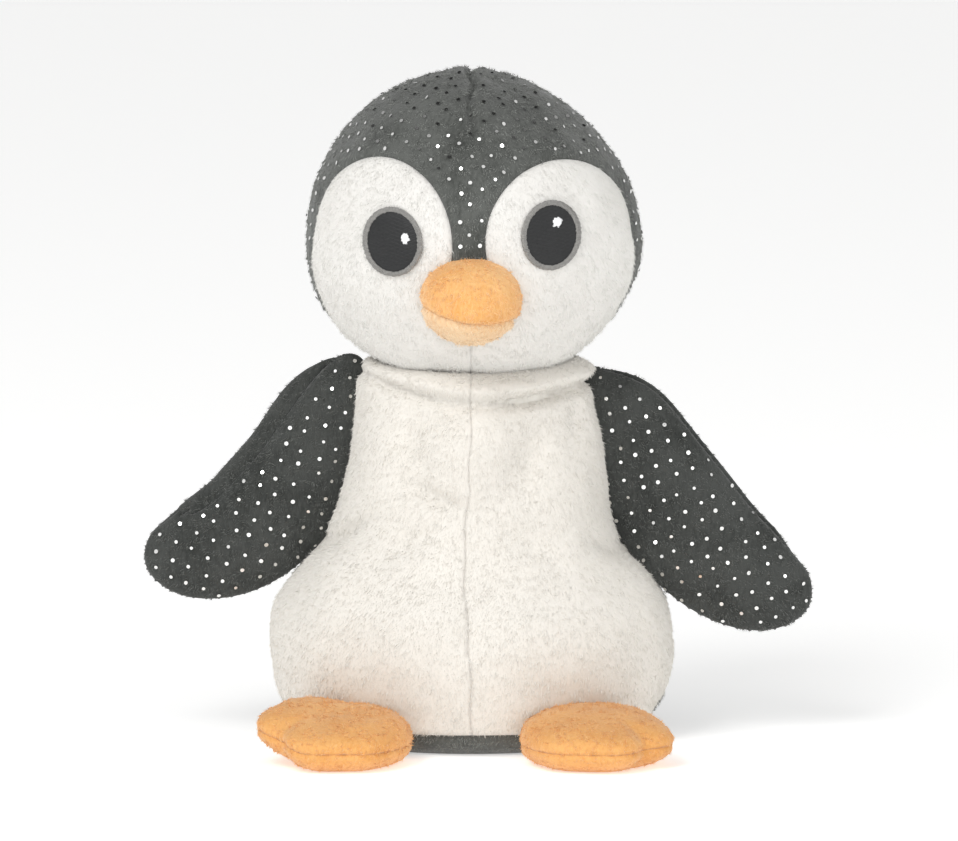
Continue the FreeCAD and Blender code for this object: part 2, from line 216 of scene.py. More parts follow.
@dataclass(frozen=True)
class Finish:
    """One surface finish. A subclass says how it is patterned."""

    name: str
    colour: str

    def make(self) -> bpy.types.Material:
        """Builds the material, or finds the one that exists.

        Returns:
            The material.
        """
        made = bpy.data.materials.get(self.name)
        if made is None:
            made = bpy.data.materials.new(self.name)
            made.use_nodes = True
            made.node_tree.nodes.clear()
            shader = add(made.node_tree, "ShaderNodeBsdfPrincipled",
                         {"Base Color": linear(self.colour)})
            add(made.node_tree, "ShaderNodeOutputMaterial", {"Surface": shader.outputs["BSDF"]})
            self.dress(made.node_tree, shader)
        return made

    def dress(self, tree: bpy.types.NodeTree, shader: bpy.types.Node) -> None:
        """Sets the shader and its patterns.

        Args:
            tree: The material's node tree.
            shader: The material's Principled shader.
        """
        raise NotImplementedError


@dataclass(frozen=True)
class PilePlush(Finish):
    """Knitted polyester with a short brushed pile.

    Its lying fibres give streaks along the nap, and their tips give the cloth a pale edge.

    Attributes:
        shade: The tone the cloth darkens towards in the low streaks of its relief, as painted shade, and in
            random broad patches.
        clump: Width of a streak, in millimetres.
        sheen: How much the fibres' tips light up towards the edge.
        nap_tilt: How far the nap leans from straight down, in radians.
        relief: Strength of the streaks' relief.
        patch: Width of a brushed patch, in millimetres.
        contrast: Where the streaks and patches together are at their darkest and lightest.
    """

    shade: str = "808080"
    clump: float = 1.1
    sheen: float = 0.35
    nap_tilt: float = 0.25
    relief: float = 0.9
    patch: float = 16.0
    contrast: tuple[float, float] = (0.6, 1.15)

    def dress(self, tree: bpy.types.NodeTree, shader: bpy.types.Node) -> None:
        """Lays streaks of pile, two fifths as wide as long, over broad brushed patches. The low streaks are
        painted darker, as painted shade.

        Args:
            tree: The material's node tree.
            shader: The material's Principled shader.
        """
        place = add(tree, "ShaderNodeTexCoord").outputs["Object"]
        along = add(tree, "ShaderNodeMapping",
                    {"Vector": place, "Rotation": (0.0, self.nap_tilt, 0.0), "Scale": (1.0, 1.0, 0.4)})
        streaks = add(tree, "ShaderNodeTexNoise",
                      {"Vector": along.outputs["Vector"], "Scale": 1 / (self.clump * MM), "Detail": 3.0,
                       "Roughness": 0.65, "Distortion": 0.4})
        patches = add(tree, "ShaderNodeTexNoise",
                      {"Vector": place, "Scale": 1 / (self.patch * MM), "Detail": 2.0})
        both = add(tree, "ShaderNodeMath", {0: streaks.outputs["Fac"], 1: patches.outputs["Fac"]},
                   operation="ADD")
        share = add(tree, "ShaderNodeMapRange", {"Value": both.outputs[0], "From Min": self.contrast[0],
                                                 "From Max": self.contrast[1]})
        # Painted shade: the colour darkens towards the shade tone where the streaks' relief is low.
        mix = add(tree, "ShaderNodeMix",
                  {"Factor": share.outputs[0], 6: linear(self.shade), 7: linear(self.colour)},
                  data_type="RGBA")
        bump = add(tree, "ShaderNodeBump", {"Height": streaks.outputs["Fac"], "Distance": 0.45 * MM,
                                            "Strength": self.relief})
        for socket, source in (("Base Color", mix.outputs[2]), ("Normal", bump.outputs["Normal"])):
            tree.links.new(source, shader.inputs[socket])
        shader.inputs["Roughness"].default_value = 0.95
        shader.inputs["Specular IOR Level"].default_value = 0.15
        shader.inputs["Sheen Weight"].default_value = self.sheen
        shader.inputs["Sheen Roughness"].default_value = 0.45


@dataclass(frozen=True)
class PileFibre(Finish):
    """The fibres that stand out of the pile: one even colour, soft, with a little sheen."""

    sheen: float = 0.3

    def dress(self, tree: bpy.types.NodeTree, shader: bpy.types.Node) -> None:
        """Sets the even finish.

        Args:
            tree: The material's node tree.
            shader: The material's Principled shader.
        """
        shader.inputs["Roughness"].default_value = 0.85
        shader.inputs["Specular IOR Level"].default_value = 0.2
        shader.inputs["Sheen Weight"].default_value = self.sheen
        shader.inputs["Sheen Roughness"].default_value = 0.4


@dataclass(frozen=True)
class SatinThread(Finish):
    """Rayon embroidery thread, tightly laid. It shines a little across the stitches.

    Attributes:
        shade: The darker threads' tone.
        roughness: How dull the thread is.
        strand: Width over which the tone changes, in millimetres.
    """

    shade: str = "404040"
    roughness: float = 0.5
    strand: float = 0.9

    def dress(self, tree: bpy.types.NodeTree, shader: bpy.types.Node) -> None:
        """Varies the tone from thread to thread.

        Args:
            tree: The material's node tree.
            shader: The material's Principled shader.
        """
        place = add(tree, "ShaderNodeTexCoord").outputs["Object"]
        tone = add(tree, "ShaderNodeTexNoise",
                   {"Vector": place, "Scale": 1 / (self.strand * MM), "Detail": 2.0})
        mix = add(tree, "ShaderNodeMix",
                  {"Factor": tone.outputs["Fac"], 6: linear(self.shade), 7: linear(self.colour)},
                  data_type="RGBA")
        tree.links.new(mix.outputs[2], shader.inputs["Base Color"])
        shader.inputs["Roughness"].default_value = self.roughness
        shader.inputs["Specular IOR Level"].default_value = 0.4
        shader.inputs["Sheen Weight"].default_value = 0.15


@dataclass(frozen=True)
class FoilPrint(Finish):
    """Silver foil pressed on the pile in small dots. It mirrors whatever it faces."""

    def dress(self, tree: bpy.types.NodeTree, shader: bpy.types.Node) -> None:
        """Sets the even metal finish.

        Args:
            tree: The material's node tree.
            shader: The material's Principled shader.
        """
        shader.inputs["Metallic"].default_value = 1.0
        shader.inputs["Roughness"].default_value = 0.22


@dataclass(frozen=True)
class LooseFill(Finish):
    """Fibre wadding, cloth or pellets inside the skin, as soft or hard grains.

    Attributes:
        shade: The painted shade between the grains, where the relief sinks.
        grain: Width of a grain, in millimetres.
        roughness: How dull the grains are.
    """

    shade: str = "808080"
    grain: float = 3.0
    roughness: float = 0.9

    def dress(self, tree: bpy.types.NodeTree, shader: bpy.types.Node) -> None:
        """Covers the filling with rounded grains of one size, painted darker towards their edges as painted
        shade.

        Args:
            tree: The material's node tree.
            shader: The material's Principled shader.
        """
        place = add(tree, "ShaderNodeTexCoord").outputs["Object"]
        cells = add(tree, "ShaderNodeTexVoronoi", {"Vector": place, "Scale": 1 / (self.grain * MM)})
        # Painted shade: the tone darkens towards each grain's edge, where the inverted bump sinks.
        mix = add(tree, "ShaderNodeMix", {"Factor": cells.outputs["Distance"], 6: linear(self.colour),
                                          7: linear(self.shade)}, data_type="RGBA")
        bump = add(tree, "ShaderNodeBump",
                   {"Height": cells.outputs["Distance"], "Distance": 0.2 * self.grain * MM}, invert=True)
        for socket, source in (("Base Color", mix.outputs[2]), ("Normal", bump.outputs["Normal"])):
            tree.links.new(source, shader.inputs[socket])
        shader.inputs["Roughness"].default_value = self.roughness


@dataclass(frozen=True)
class StagePaper(Finish):
    """Matt white paper under the toy. It glows with painted light of its own, which brightens it and the toy's
    undersides.
    """

    glow: float = 0.44

    def dress(self, tree: bpy.types.NodeTree, shader: bpy.types.Node) -> None:
        """Sets the even matt finish and the painted glow.

        Args:
            tree: The material's node tree.
            shader: The material's Principled shader.
        """
        # Painted light: the paper emits a glow of its own.
        shader.inputs["Emission Color"].default_value = linear("ffffff")
        shader.inputs["Emission Strength"].default_value = self.glow
        shader.inputs["Roughness"].default_value = 0.9
        shader.inputs["Specular IOR Level"].default_value = 0.1


@dataclass(frozen=True)
class Pile:
    """How the fibres stand on a panel.

    Fibres are drawn as tufts a quarter of a millimetre thick, because single fibres are too fine to show.

    Attributes:
        fibre: The fibres' finish.
        density: Tufts on a square millimetre.
        length: Length of a tuft, in millimetres.
        root: Radius of a tuft at its root, in millimetres.
        lift: How steeply the tufts rise from the cloth.
        jitter: How much each tuft leans its own way.
        clump: Width of a clump of tufts that lean together, in millimetres.
        gather: How much the tufts of a clump lean together.
        row: Height of a row of low or high tufts, in millimetres.
        rows: How the rows are stretched along each axis.
        low: Length of the low rows' tufts, as a share.
    """

    fibre: PileFibre
    density: float = 2.2
    length: float = 1.15
    root: float = 0.11
    lift: float = 0.5
    jitter: float = 0.3
    clump: float = 1.8
    gather: float = 5.5
    row: float = 1.3
    rows: tuple[float, float, float] = (0.33, 0.33, 1.0)
    low: float = 0.45


@dataclass(frozen=True)
class Cloth:
    """A pile fabric: the finish of its ground, its fibres and the record's material slot."""

    ground: PilePlush
    pile: Pile
    slot: str


# Each cloth's ground is painted a little darker than its fibres, as painted shade under the pile.
# Brushed polyester, nearly white: soft shadows between its clumps, partly painted as shade in its ground, and
# hardly any gloss.
WHITE = Cloth(PilePlush("white_face_plush", "e2e0dc", shade="dddad6", relief=0.35),
              Pile(PileFibre("white_pile_fibre", "e2e1dd"), gather=2.6, low=0.7), "white_plush")
# The same cloth in cream, a little warmer than the face beside it.
CREAM = Cloth(PilePlush("cream_belly_plush", "e1ddd6", shade="dcd8d1", relief=0.35),
              Pile(PileFibre("cream_pile_fibre", "e2dfd9"), gather=2.6, low=0.7), "cream_plush")
# Dyed brushed polyester on the hood and back, where its nap lies towards the eye. This copy is painted lighter,
# as painted light, than the flippers' one below.
DARK = Cloth(PilePlush("dark_grey_plush", "5c5e5b", shade="3a3c39", sheen=0.35),
             Pile(PileFibre("dark_pile_fibre", "858783", sheen=0.25), length=0.95, density=2.0, low=0.2),
             "dark_plush")
# The same cloth on the flippers, painted darker as painted shade where the nap lies away from the eye.
DARK_SHADED = Cloth(PilePlush("dark_grey_plush_with_the_nap", "454745", shade="2b2d2b", sheen=0.3),
               Pile(PileFibre("darker_pile_fibre", "646663", sheen=0.2), length=0.95, density=2.0, low=0.2),
               "dark_plush")
# Orange pile, close and short: fine streaks and a pale bloom at the edge.
BEAK = Cloth(PilePlush("orange_beak_plush", "edbd80", shade="dd9c52", clump=0.8),
             Pile(PileFibre("orange_beak_fibre", "f1c792"), length=1.05, density=2.6), "beak_plush")
LIGHT_BEAK = Cloth(PilePlush("light_orange_plush", "ecd0aa", shade="deae79", clump=0.8),
                   Pile(PileFibre("light_orange_fibre", "f0dabb"), length=1.05, density=2.6),
                   "light_beak_plush")
FOOT = Cloth(PilePlush("orange_foot_plush", "e6ae6c", shade="d4934c", clump=0.9),
             Pile(PileFibre("orange_foot_fibre", "ebbd86"), length=0.95, density=2.4), "foot_plush")
# Hot-pressed foil: a bright or a dark speck, whichever way it leans.
FOIL = FoilPrint("silver_foil_dots", "f0f0ee")
# Satin stitches in rayon: a soft shine that runs across the threads.
BORDER = SatinThread("grey_satin_border", "a3a19d", shade="6c6b69")
PUPIL = SatinThread("black_fill_stitch", "222324", shade="101112", roughness=0.5)
GLINT = SatinThread("white_satin_glint", "f4f4f4", shade="dcdde0", roughness=0.4)
# What fills the toy, dull and grainy.
WADDING = LooseFill("polyester_wadding", "f1efea", shade="d9d5cc", grain=4.0)
POUCH = LooseFill("cotton_pouch_cloth", "e2dccf", shade="cbc4b4", grain=1.0)
PELLETS = LooseFill("plastic_pellets", "dcd8cc", shade="a8a497", grain=3.0, roughness=0.4)


# ------------------------------------------------------------------ sewing


@dataclass
class Seam:
    """A sewn seam on a stuffed shape.

    Attributes:
        distance: Signed distance in millimetres from a point of the surface to the seam.
        depth: How far the stitches pull the cloth in.
        width: Half width of the furrow.
        covers: Share, from 0 to 1, of the pull at a point, where the seam is only partly there.
        parts: Whether the seam divides panels.
    """

    distance: Field
    depth: float = 1.0
    width: float = 1.3
    covers: Field = lambda point: 1.0
    parts: bool = True


@dataclass
class Panel:
    """One cut piece of cloth, with the CAD nodes it stands for and the body it moves with."""

    name: str
    cloth: Cloth
    nodes: tuple[str, ...]
    body: str


@dataclass
class Sewn:
    """A stuffed form of panels that are sewn together.

    Attributes:
        mesh: The closed surface, in millimetres.
        seams: The seams, in the order that panel_of reads them.
        panels: The panels by key.
        panel_of: Gives a face's panel from its place and from the sign of each seam's distance.
        bare: Share of the pile that is missing at a point, such as under stitching.
        nap: Direction in which the pile lies at a point, straight down if nothing is given.
    """

    mesh: bmesh.types.BMesh
    seams: Sequence[Seam]
    panels: dict[str, Panel]
    panel_of: Callable[[Vector, Sequence[float]], str]
    bare: Field = lambda point: 0.0
    nap: Callable[[Vector], Vector] = lambda point: -UP

    def _meet_seams(self) -> None:
        """Slides the nearest vertices onto each seam that divides panels, so that no face crosses it."""
        for seam in self.seams:
            if not seam.parts:
                continue
            away = {vertex: seam.distance(vertex.co) for vertex in self.mesh.verts}
            moves: dict = {}
            for edge in self.mesh.edges:
                a, b = edge.verts
                if away[a] * away[b] >= 0:
                    continue
                share = away[a] / (away[a] - away[b])
                near, far, share = (a, b, share) if share < 0.5 else (b, a, 1 - share)
                if near not in moves or share < moves[near][1]:
                    moves[near] = (far.co.copy(), share)
            for vertex, (towards, share) in moves.items():
                vertex.co = vertex.co.lerp(towards, share)

    def _pull_in(self) -> None:
        """Pulls the cloth in along every seam."""
        self.mesh.normal_update()
        for vertex in self.mesh.verts:
            pull = sum(seam.depth * seam.covers(vertex.co) * bell(seam.distance(vertex.co), seam.width)
                       for seam in self.seams)
            if pull > 0.01:
                vertex.co -= vertex.normal * pull

    def _sort_faces(self) -> dict[str, list[int]]:
        """Gives each face to a panel.

        Returns:
            The numbers of each panel's faces.
        """
        apart = [{vertex: seam.distance(vertex.co) for vertex in self.mesh.verts} if seam.parts else None
                 for seam in self.seams]
        sorted_faces: dict[str, list[int]] = {key: [] for key in self.panels}
        self.mesh.faces.index_update()
        for face in self.mesh.faces:
            sides = [max((away[vertex] for vertex in face.verts), key=abs) if away else 0.0
                     for away in apart]
            sorted_faces[self.panel_of(face.calc_center_median(), sides)].append(face.index)
        return sorted_faces

    def make(self) -> dict[str, bpy.types.Object]:
        """Sews the form and cuts it into its panels.

        Returns:
            The panels' objects by key, each with an attribute for how much pile it carries.
        """
        self._meet_seams()
        faces = self._sort_faces()
        pile = self.mesh.verts.layers.float.new("pile")
        nap = self.mesh.verts.layers.float_vector.new("nap")
        for vertex in self.mesh.verts:
            vertex[pile] = 1.0 - min(1.0, max(0.0, self.bare(vertex.co)))
            vertex[nap] = self.nap(vertex.co)
        self._pull_in()
        bmesh.ops.scale(self.mesh, vec=(MM, MM, MM), verts=self.mesh.verts)
        made = {}
        for key, numbers in faces.items():
            keep = set(numbers)
            part = self.mesh.copy()
            part.faces.ensure_lookup_table()
            others = [face for face in part.faces if face.index not in keep]
            bmesh.ops.delete(part, geom=others, context="FACES")
            made[key] = as_object(part, self.panels[key].name, self.panels[key].cloth.ground)
        self.mesh.free()
        return made


def as_object(mesh: bmesh.types.BMesh, name: str, finish: Finish) -> bpy.types.Object:
    """Makes an object of a finished mesh in metres, at the origin.

    Args:
        mesh: The mesh, which is freed.
        name: The piece's name.
        finish: Its finish.

    Returns:
        The object, smoothly shaded.
    """
    for face in mesh.faces:
        face.smooth = True
    data = bpy.data.meshes.new(name)
    mesh.to_mesh(data)
    mesh.free()
    data.materials.append(finish.make())
    piece = bpy.data.objects.new(name, data)
    bpy.context.scene.collection.objects.link(piece)
    return piece


def pile_group(pile: Pile, seed: int) -> bpy.types.NodeTree:
    """Builds the geometry nodes that stand fibres on a panel.

    Args:
        pile: How the fibres stand.
        seed: Seed of their places.

    Returns:
        The node group. It keeps the fibres only.
    """
    tree = bpy.data.node_groups.new("standing_pile", "GeometryNodeTree")
    for way in ("INPUT", "OUTPUT"):
        tree.interface.new_socket(name="Geometry", in_out=way, socket_type="NodeSocketGeometry")
    cloth = add(tree, "NodeGroupInput").outputs["Geometry"]
    cover = add(tree, "GeometryNodeInputNamedAttribute", {"Name": "pile"}, data_type="FLOAT")
    nap = add(tree, "GeometryNodeInputNamedAttribute", {"Name": "nap"}, data_type="FLOAT_VECTOR")
    density = add(tree, "ShaderNodeMath",
                  {0: cover.outputs["Attribute"], 1: pile.density / MM ** 2}, operation="MULTIPLY")
    places = add(tree, "GeometryNodeDistributePointsOnFaces",
                 {"Mesh": cloth, "Density": density.outputs[0], "Seed": seed}, distribute_method="RANDOM")
    out = places.outputs["Normal"]

    def vector(operation: str, first: object, second: object) -> bpy.types.NodeSocket:
        """Adds a Vector Math node.

        Args:
            operation: Blender's name for what it does.
            first: The first value or socket.
            second: The second one, which is the factor for a scaling.

        Returns:
            The result's socket.
        """
        key = "Scale" if operation == "SCALE" else 1
        node = add(tree, "ShaderNodeVectorMath", {0: first, key: second}, operation=operation)
        return node.outputs["Value" if operation == "DOT_PRODUCT" else 0]

    # The nap is laid flat on the cloth, then lifted and stirred.
    lying = nap.outputs["Attribute"]
    flat = vector("SUBTRACT", lying, vector("SCALE", out, vector("DOT_PRODUCT", lying, out)))
    leaning = vector("ADD", flat, vector("SCALE", out, pile.lift))
    stir = add(tree, "FunctionNodeRandomValue",
               {"Min": (-pile.jitter,) * 3, "Max": (pile.jitter,) * 3, "Seed": seed},
               data_type="FLOAT_VECTOR").outputs["Value"]
    # Fibres that stand together lean together, in clumps a millimetre or two wide.
    here = add(tree, "GeometryNodeInputPosition").outputs["Position"]
    drift = add(tree, "ShaderNodeTexNoise", {"Vector": here, "Scale": 1 / (pile.clump * MM), "Detail": 1.0})
    centred = vector("SUBTRACT", drift.outputs["Color"], (0.5, 0.5, 0.5))
    together = vector("ADD", leaning, vector("SCALE", centred, pile.gather))
    towards = vector("ADD", together, stir)
    turn = add(tree, "FunctionNodeAlignRotationToVector", {"Vector": towards}, axis="Z").outputs["Rotation"]
    spread = add(tree, "FunctionNodeRandomValue", {2: 0.65, 3: 1.3, "Seed": seed + 1}, data_type="FLOAT")
    tuft = add(tree, "GeometryNodeMeshCone",
               {"Vertices": 3, "Radius Top": 0.0, "Radius Bottom": pile.root * MM,
                "Depth": pile.length * MM}, fill_type="NGON").outputs["Mesh"]
    # Low and high rows across the nap, as the knitted ground leaves them.
    rows = add(tree, "ShaderNodeTexNoise",
               {"Vector": vector("MULTIPLY", here, pile.rows), "Scale": 1 / (pile.row * MM), "Detail": 0.0})
    height = add(tree, "ShaderNodeMapRange", {"Value": rows.outputs["Fac"], "From Min": 0.38, "From Max": 0.6,
                                              "To Min": pile.low, "To Max": 1.2})
    tall = add(tree, "ShaderNodeMath", {0: spread.outputs[1], 1: height.outputs[0]}, operation="MULTIPLY")
    stood = add(tree, "GeometryNodeInstanceOnPoints",
                {"Points": places.outputs["Points"], "Instance": tuft, "Rotation": turn,
                 "Scale": tall.outputs[0]}).outputs["Instances"]
    real = add(tree, "GeometryNodeRealizeInstances", {"Geometry": stood}).outputs["Geometry"]
    add(tree, "NodeGroupOutput", {"Geometry": real})
    return tree


def grow_pile(panel: bpy.types.Object, pile: Pile, seed: int) -> bpy.types.Object:
    """Grows the fibres of one panel as a piece of its own.

    Args:
        panel: The panel, before its cloth gets its thickness.
        pile: How the fibres stand.
        seed: Seed of their places.

    Returns:
        The fibres.
    """
    ground = bpy.data.objects.new("ground", panel.data)
    bpy.context.scene.collection.objects.link(ground)
    group = pile_group(pile, seed)
    ground.modifiers.new("pile", "NODES").node_group = group
    shown = ground.evaluated_get(bpy.context.evaluated_depsgraph_get())
    data = bpy.data.meshes.new_from_object(shown)
    bpy.data.objects.remove(ground)
    bpy.data.node_groups.remove(group)
    data.name = f"{panel.name}_pile"
    data.materials.clear()
    data.materials.append(pile.fibre.make())
    fibres = bpy.data.objects.new(f"{panel.name}_pile", data)
    bpy.context.scene.collection.objects.link(fibres)
    return fibres


def thicken(panel: bpy.types.Object, cloth_mm: float = 1.2) -> None:
    """Gives the cloth its thickness, inwards.

    Args:
        panel: The panel.
        cloth_mm: The thickness, in millimetres.
    """
    solid = panel.modifiers.new("cloth", "SOLIDIFY")
    solid.thickness = cloth_mm * MM
    solid.offset = -1.0


def print_dots(panel: bpy.types.Object, rays: Iterator[Ray], seed: int, radius: float = 0.68,
               over: float = 0.6, tilt: float = 0.19, margin: float = 2.2) -> Optional[bpy.types.Object]:
    """Prints foil dots where rays meet a panel.

    Args:
        panel: The panel.
        rays: Start and direction of each ray, in millimetres.
        seed: Seed of the dots' small tilts.
        radius: Radius of a dot.
        over: Height of a dot over the ground of the cloth, on the pile.
        tilt: How far the pile tips the dots, as a share of their size.
        margin: Bare width along a panel's edge, in millimetres.

    Returns:
        The dots, or nothing where no ray meets the panel.
    """
    chance = random.Random(seed)
    tree = BVHTree.FromObject(panel, bpy.context.evaluated_depsgraph_get())
    # A tiny triangle at each vertex of the cut edge gives the distance to that edge.
    edge = [vertex.co for vertex in boundary(panel)]
    corners = (Vector(), Vector((1e-5, 0, 0)), Vector((0, 1e-5, 0)))
    rim = BVHTree.FromPolygons([p + corner for p in edge for corner in corners],
                               [(3 * k, 3 * k + 1, 3 * k + 2) for k in range(len(edge))])
    mesh = bmesh.new()
    for start, direction in rays:
        place, out, _, _ = tree.ray_cast(start * MM, direction)
        if place is None or rim.find_nearest(place)[3] < margin * MM:
            continue
        if out.dot(direction) < 0:
            out = -out
        leaning = Vector([chance.gauss(0, tilt) for _ in range(3)])
        facing = (out + leaning).normalized().to_track_quat("Z", "Y").to_matrix().to_4x4()
        width = radius * MM * chance.uniform(0.8, 1.1)
        bmesh.ops.create_circle(mesh, cap_ends=True, segments=10, radius=width,
                                matrix=Matrix.Translation(place + out * over * MM) @ facing)
    if not mesh.faces:
        return None
    return as_object(mesh, f"{panel.name}_dots", FOIL)


def boundary(panel: bpy.types.Object) -> list[bpy.types.MeshVertex]:
    """Finds the vertices along a panel's cut edge.

    Args:
        panel: The panel.

    Returns:
        The vertices that lie on an edge of one face only.
    """
    uses: dict[tuple[int, int], int] = {}
    for polygon in panel.data.polygons:
        for key in polygon.edge_keys:
            uses[key] = uses.get(key, 0) + 1
    ends = {number for key, count in uses.items() if count == 1 for number in key}
    return [panel.data.vertices[number] for number in sorted(ends)]


def lattice(half_across: float, half_along: float, pitch: float = 7.5, row_pitch: float = 4.6,
            stray: float = 0.5) -> Iterator[tuple[float, float]]:
    """Gives the staggered places of the printed dots on flat cloth, in millimetres.

    Args:
        half_across: Half width of the cloth.
        half_along: Half length of the cloth.
        pitch: Distance between the dots of a row.
        row_pitch: Distance between rows.
        stray: How far the pile moves a dot.

    Yields:
        A dot's place across and along the cloth.
    """
    chance = random.Random(round(half_across * 7 + half_along))
    rows, columns = int(half_along / row_pitch) + 1, int(half_across / pitch) + 1
    for row in range(-rows, rows + 1):
        for column in range(-columns, columns + 1):
            yield ((column + (0.5 if row % 2 else 0.0)) * pitch + chance.gauss(0, stray),
                   row * row_pitch + chance.gauss(0, stray))


@dataclass(frozen=True)
class Crossing:
    """The stretch of cloth that bends where a limb is sewn to the torso."""

    limb: str
    start: Vector
    end: Vector


def settle(panels: dict[str, Panel], made: dict[str, bpy.types.Object], dots: dict[str, bpy.types.Object],
           seed: int, crossing: Optional[Crossing] = None) -> list[bpy.types.Object]:
    """Grows the pile of each panel, gives the cloth its thickness and puts each piece on its body.

    Args:
        panels: What each panel is.
        made: The panels' objects.
        dots: The foil dots by panel.
        seed: Seed of the pile.
        crossing: Where the cloth bends, on a limb.

    Returns:
        Every piece.
    """
    pieces = []
    for number, (key, piece) in enumerate(made.items()):
        panel = panels[key]
        family = [piece, grow_pile(piece, panel.cloth.pile, seed + number)]
        thicken(piece)
        if key in dots:
            family.append(dots[key])
        for member in family:
            if crossing:
                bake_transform(member, "torso", crossing.limb, start=crossing.start * MM, end=crossing.end * MM)
            else:
                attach(member, panel.body)
        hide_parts(*panel.nodes)
        for member in family[:2]:
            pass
        pieces += family
        log.info("%s: %d faces, %d of pile", piece.name, len(piece.data.polygons),
                 len(family[1].data.polygons))
    return pieces


# ------------------------------------------------------------------ forms


class Side(Enum):
    """The toy's own sides."""

    RIGHT = -1
    LEFT = 1

    @property
    def word(self) -> str:
        """The side as it is in piece and node names."""
        return self.name.lower()


def facing_out(mesh: bmesh.types.BMesh) -> bmesh.types.BMesh:
    """Turns the faces of a closed mesh outwards.

    Args:
        mesh: The mesh.

    Returns:
        The same mesh.
    """
    mesh.normal_update()
    bmesh.ops.recalc_face_normals(mesh, faces=mesh.faces)
    return mesh


def ball(fineness: int, shape: Callable[[Vector], Vector]) -> bmesh.types.BMesh:
    """Shapes an icosphere.

    Args:
        fineness: Subdivisions of the icosphere.
        shape: The point of the form for each direction from its middle.

    Returns:
        The closed mesh.
    """
    mesh = bmesh.new()
    bmesh.ops.create_icosphere(mesh, subdivisions=fineness, radius=1.0)
    for vertex in mesh.verts:
        vertex.co = shape(vertex.co.normalized())
    return facing_out(mesh)


def stuffed_core(name: str, mesh: bmesh.types.BMesh, inset: float, finish: Finish, body: str, slot: str,
                 node: str, crossing: Optional[Crossing] = None) -> bpy.types.Object:
    """Makes the filling inside a skin.

    Args:
        name: The piece's name.
        mesh: The skin's shape, on a coarse mesh in millimetres.
        inset: How far inside it the filling ends.
        finish: The filling.
        body: The body it moves with.
        slot: The record's material slot. It is not used.
        node: The CAD node it stands for.
        crossing: Where it bends with its skin, on a limb.

    Returns:
        The piece.
    """
    lump_width, lump_height = 5.0, 0.6
    mesh.normal_update()
    for vertex in mesh.verts:
        grain = noise.noise(vertex.co / lump_width)
        vertex.co -= vertex.normal * (inset + lump_height + lump_height * grain)
    bmesh.ops.scale(mesh, vec=(MM, MM, MM), verts=mesh.verts)
    piece = as_object(mesh, name, finish)
    if crossing:
        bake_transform(piece, "torso", crossing.limb, start=crossing.start * MM, end=crossing.end * MM)
    else:
        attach(piece, body)
    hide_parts(node)
    return piece


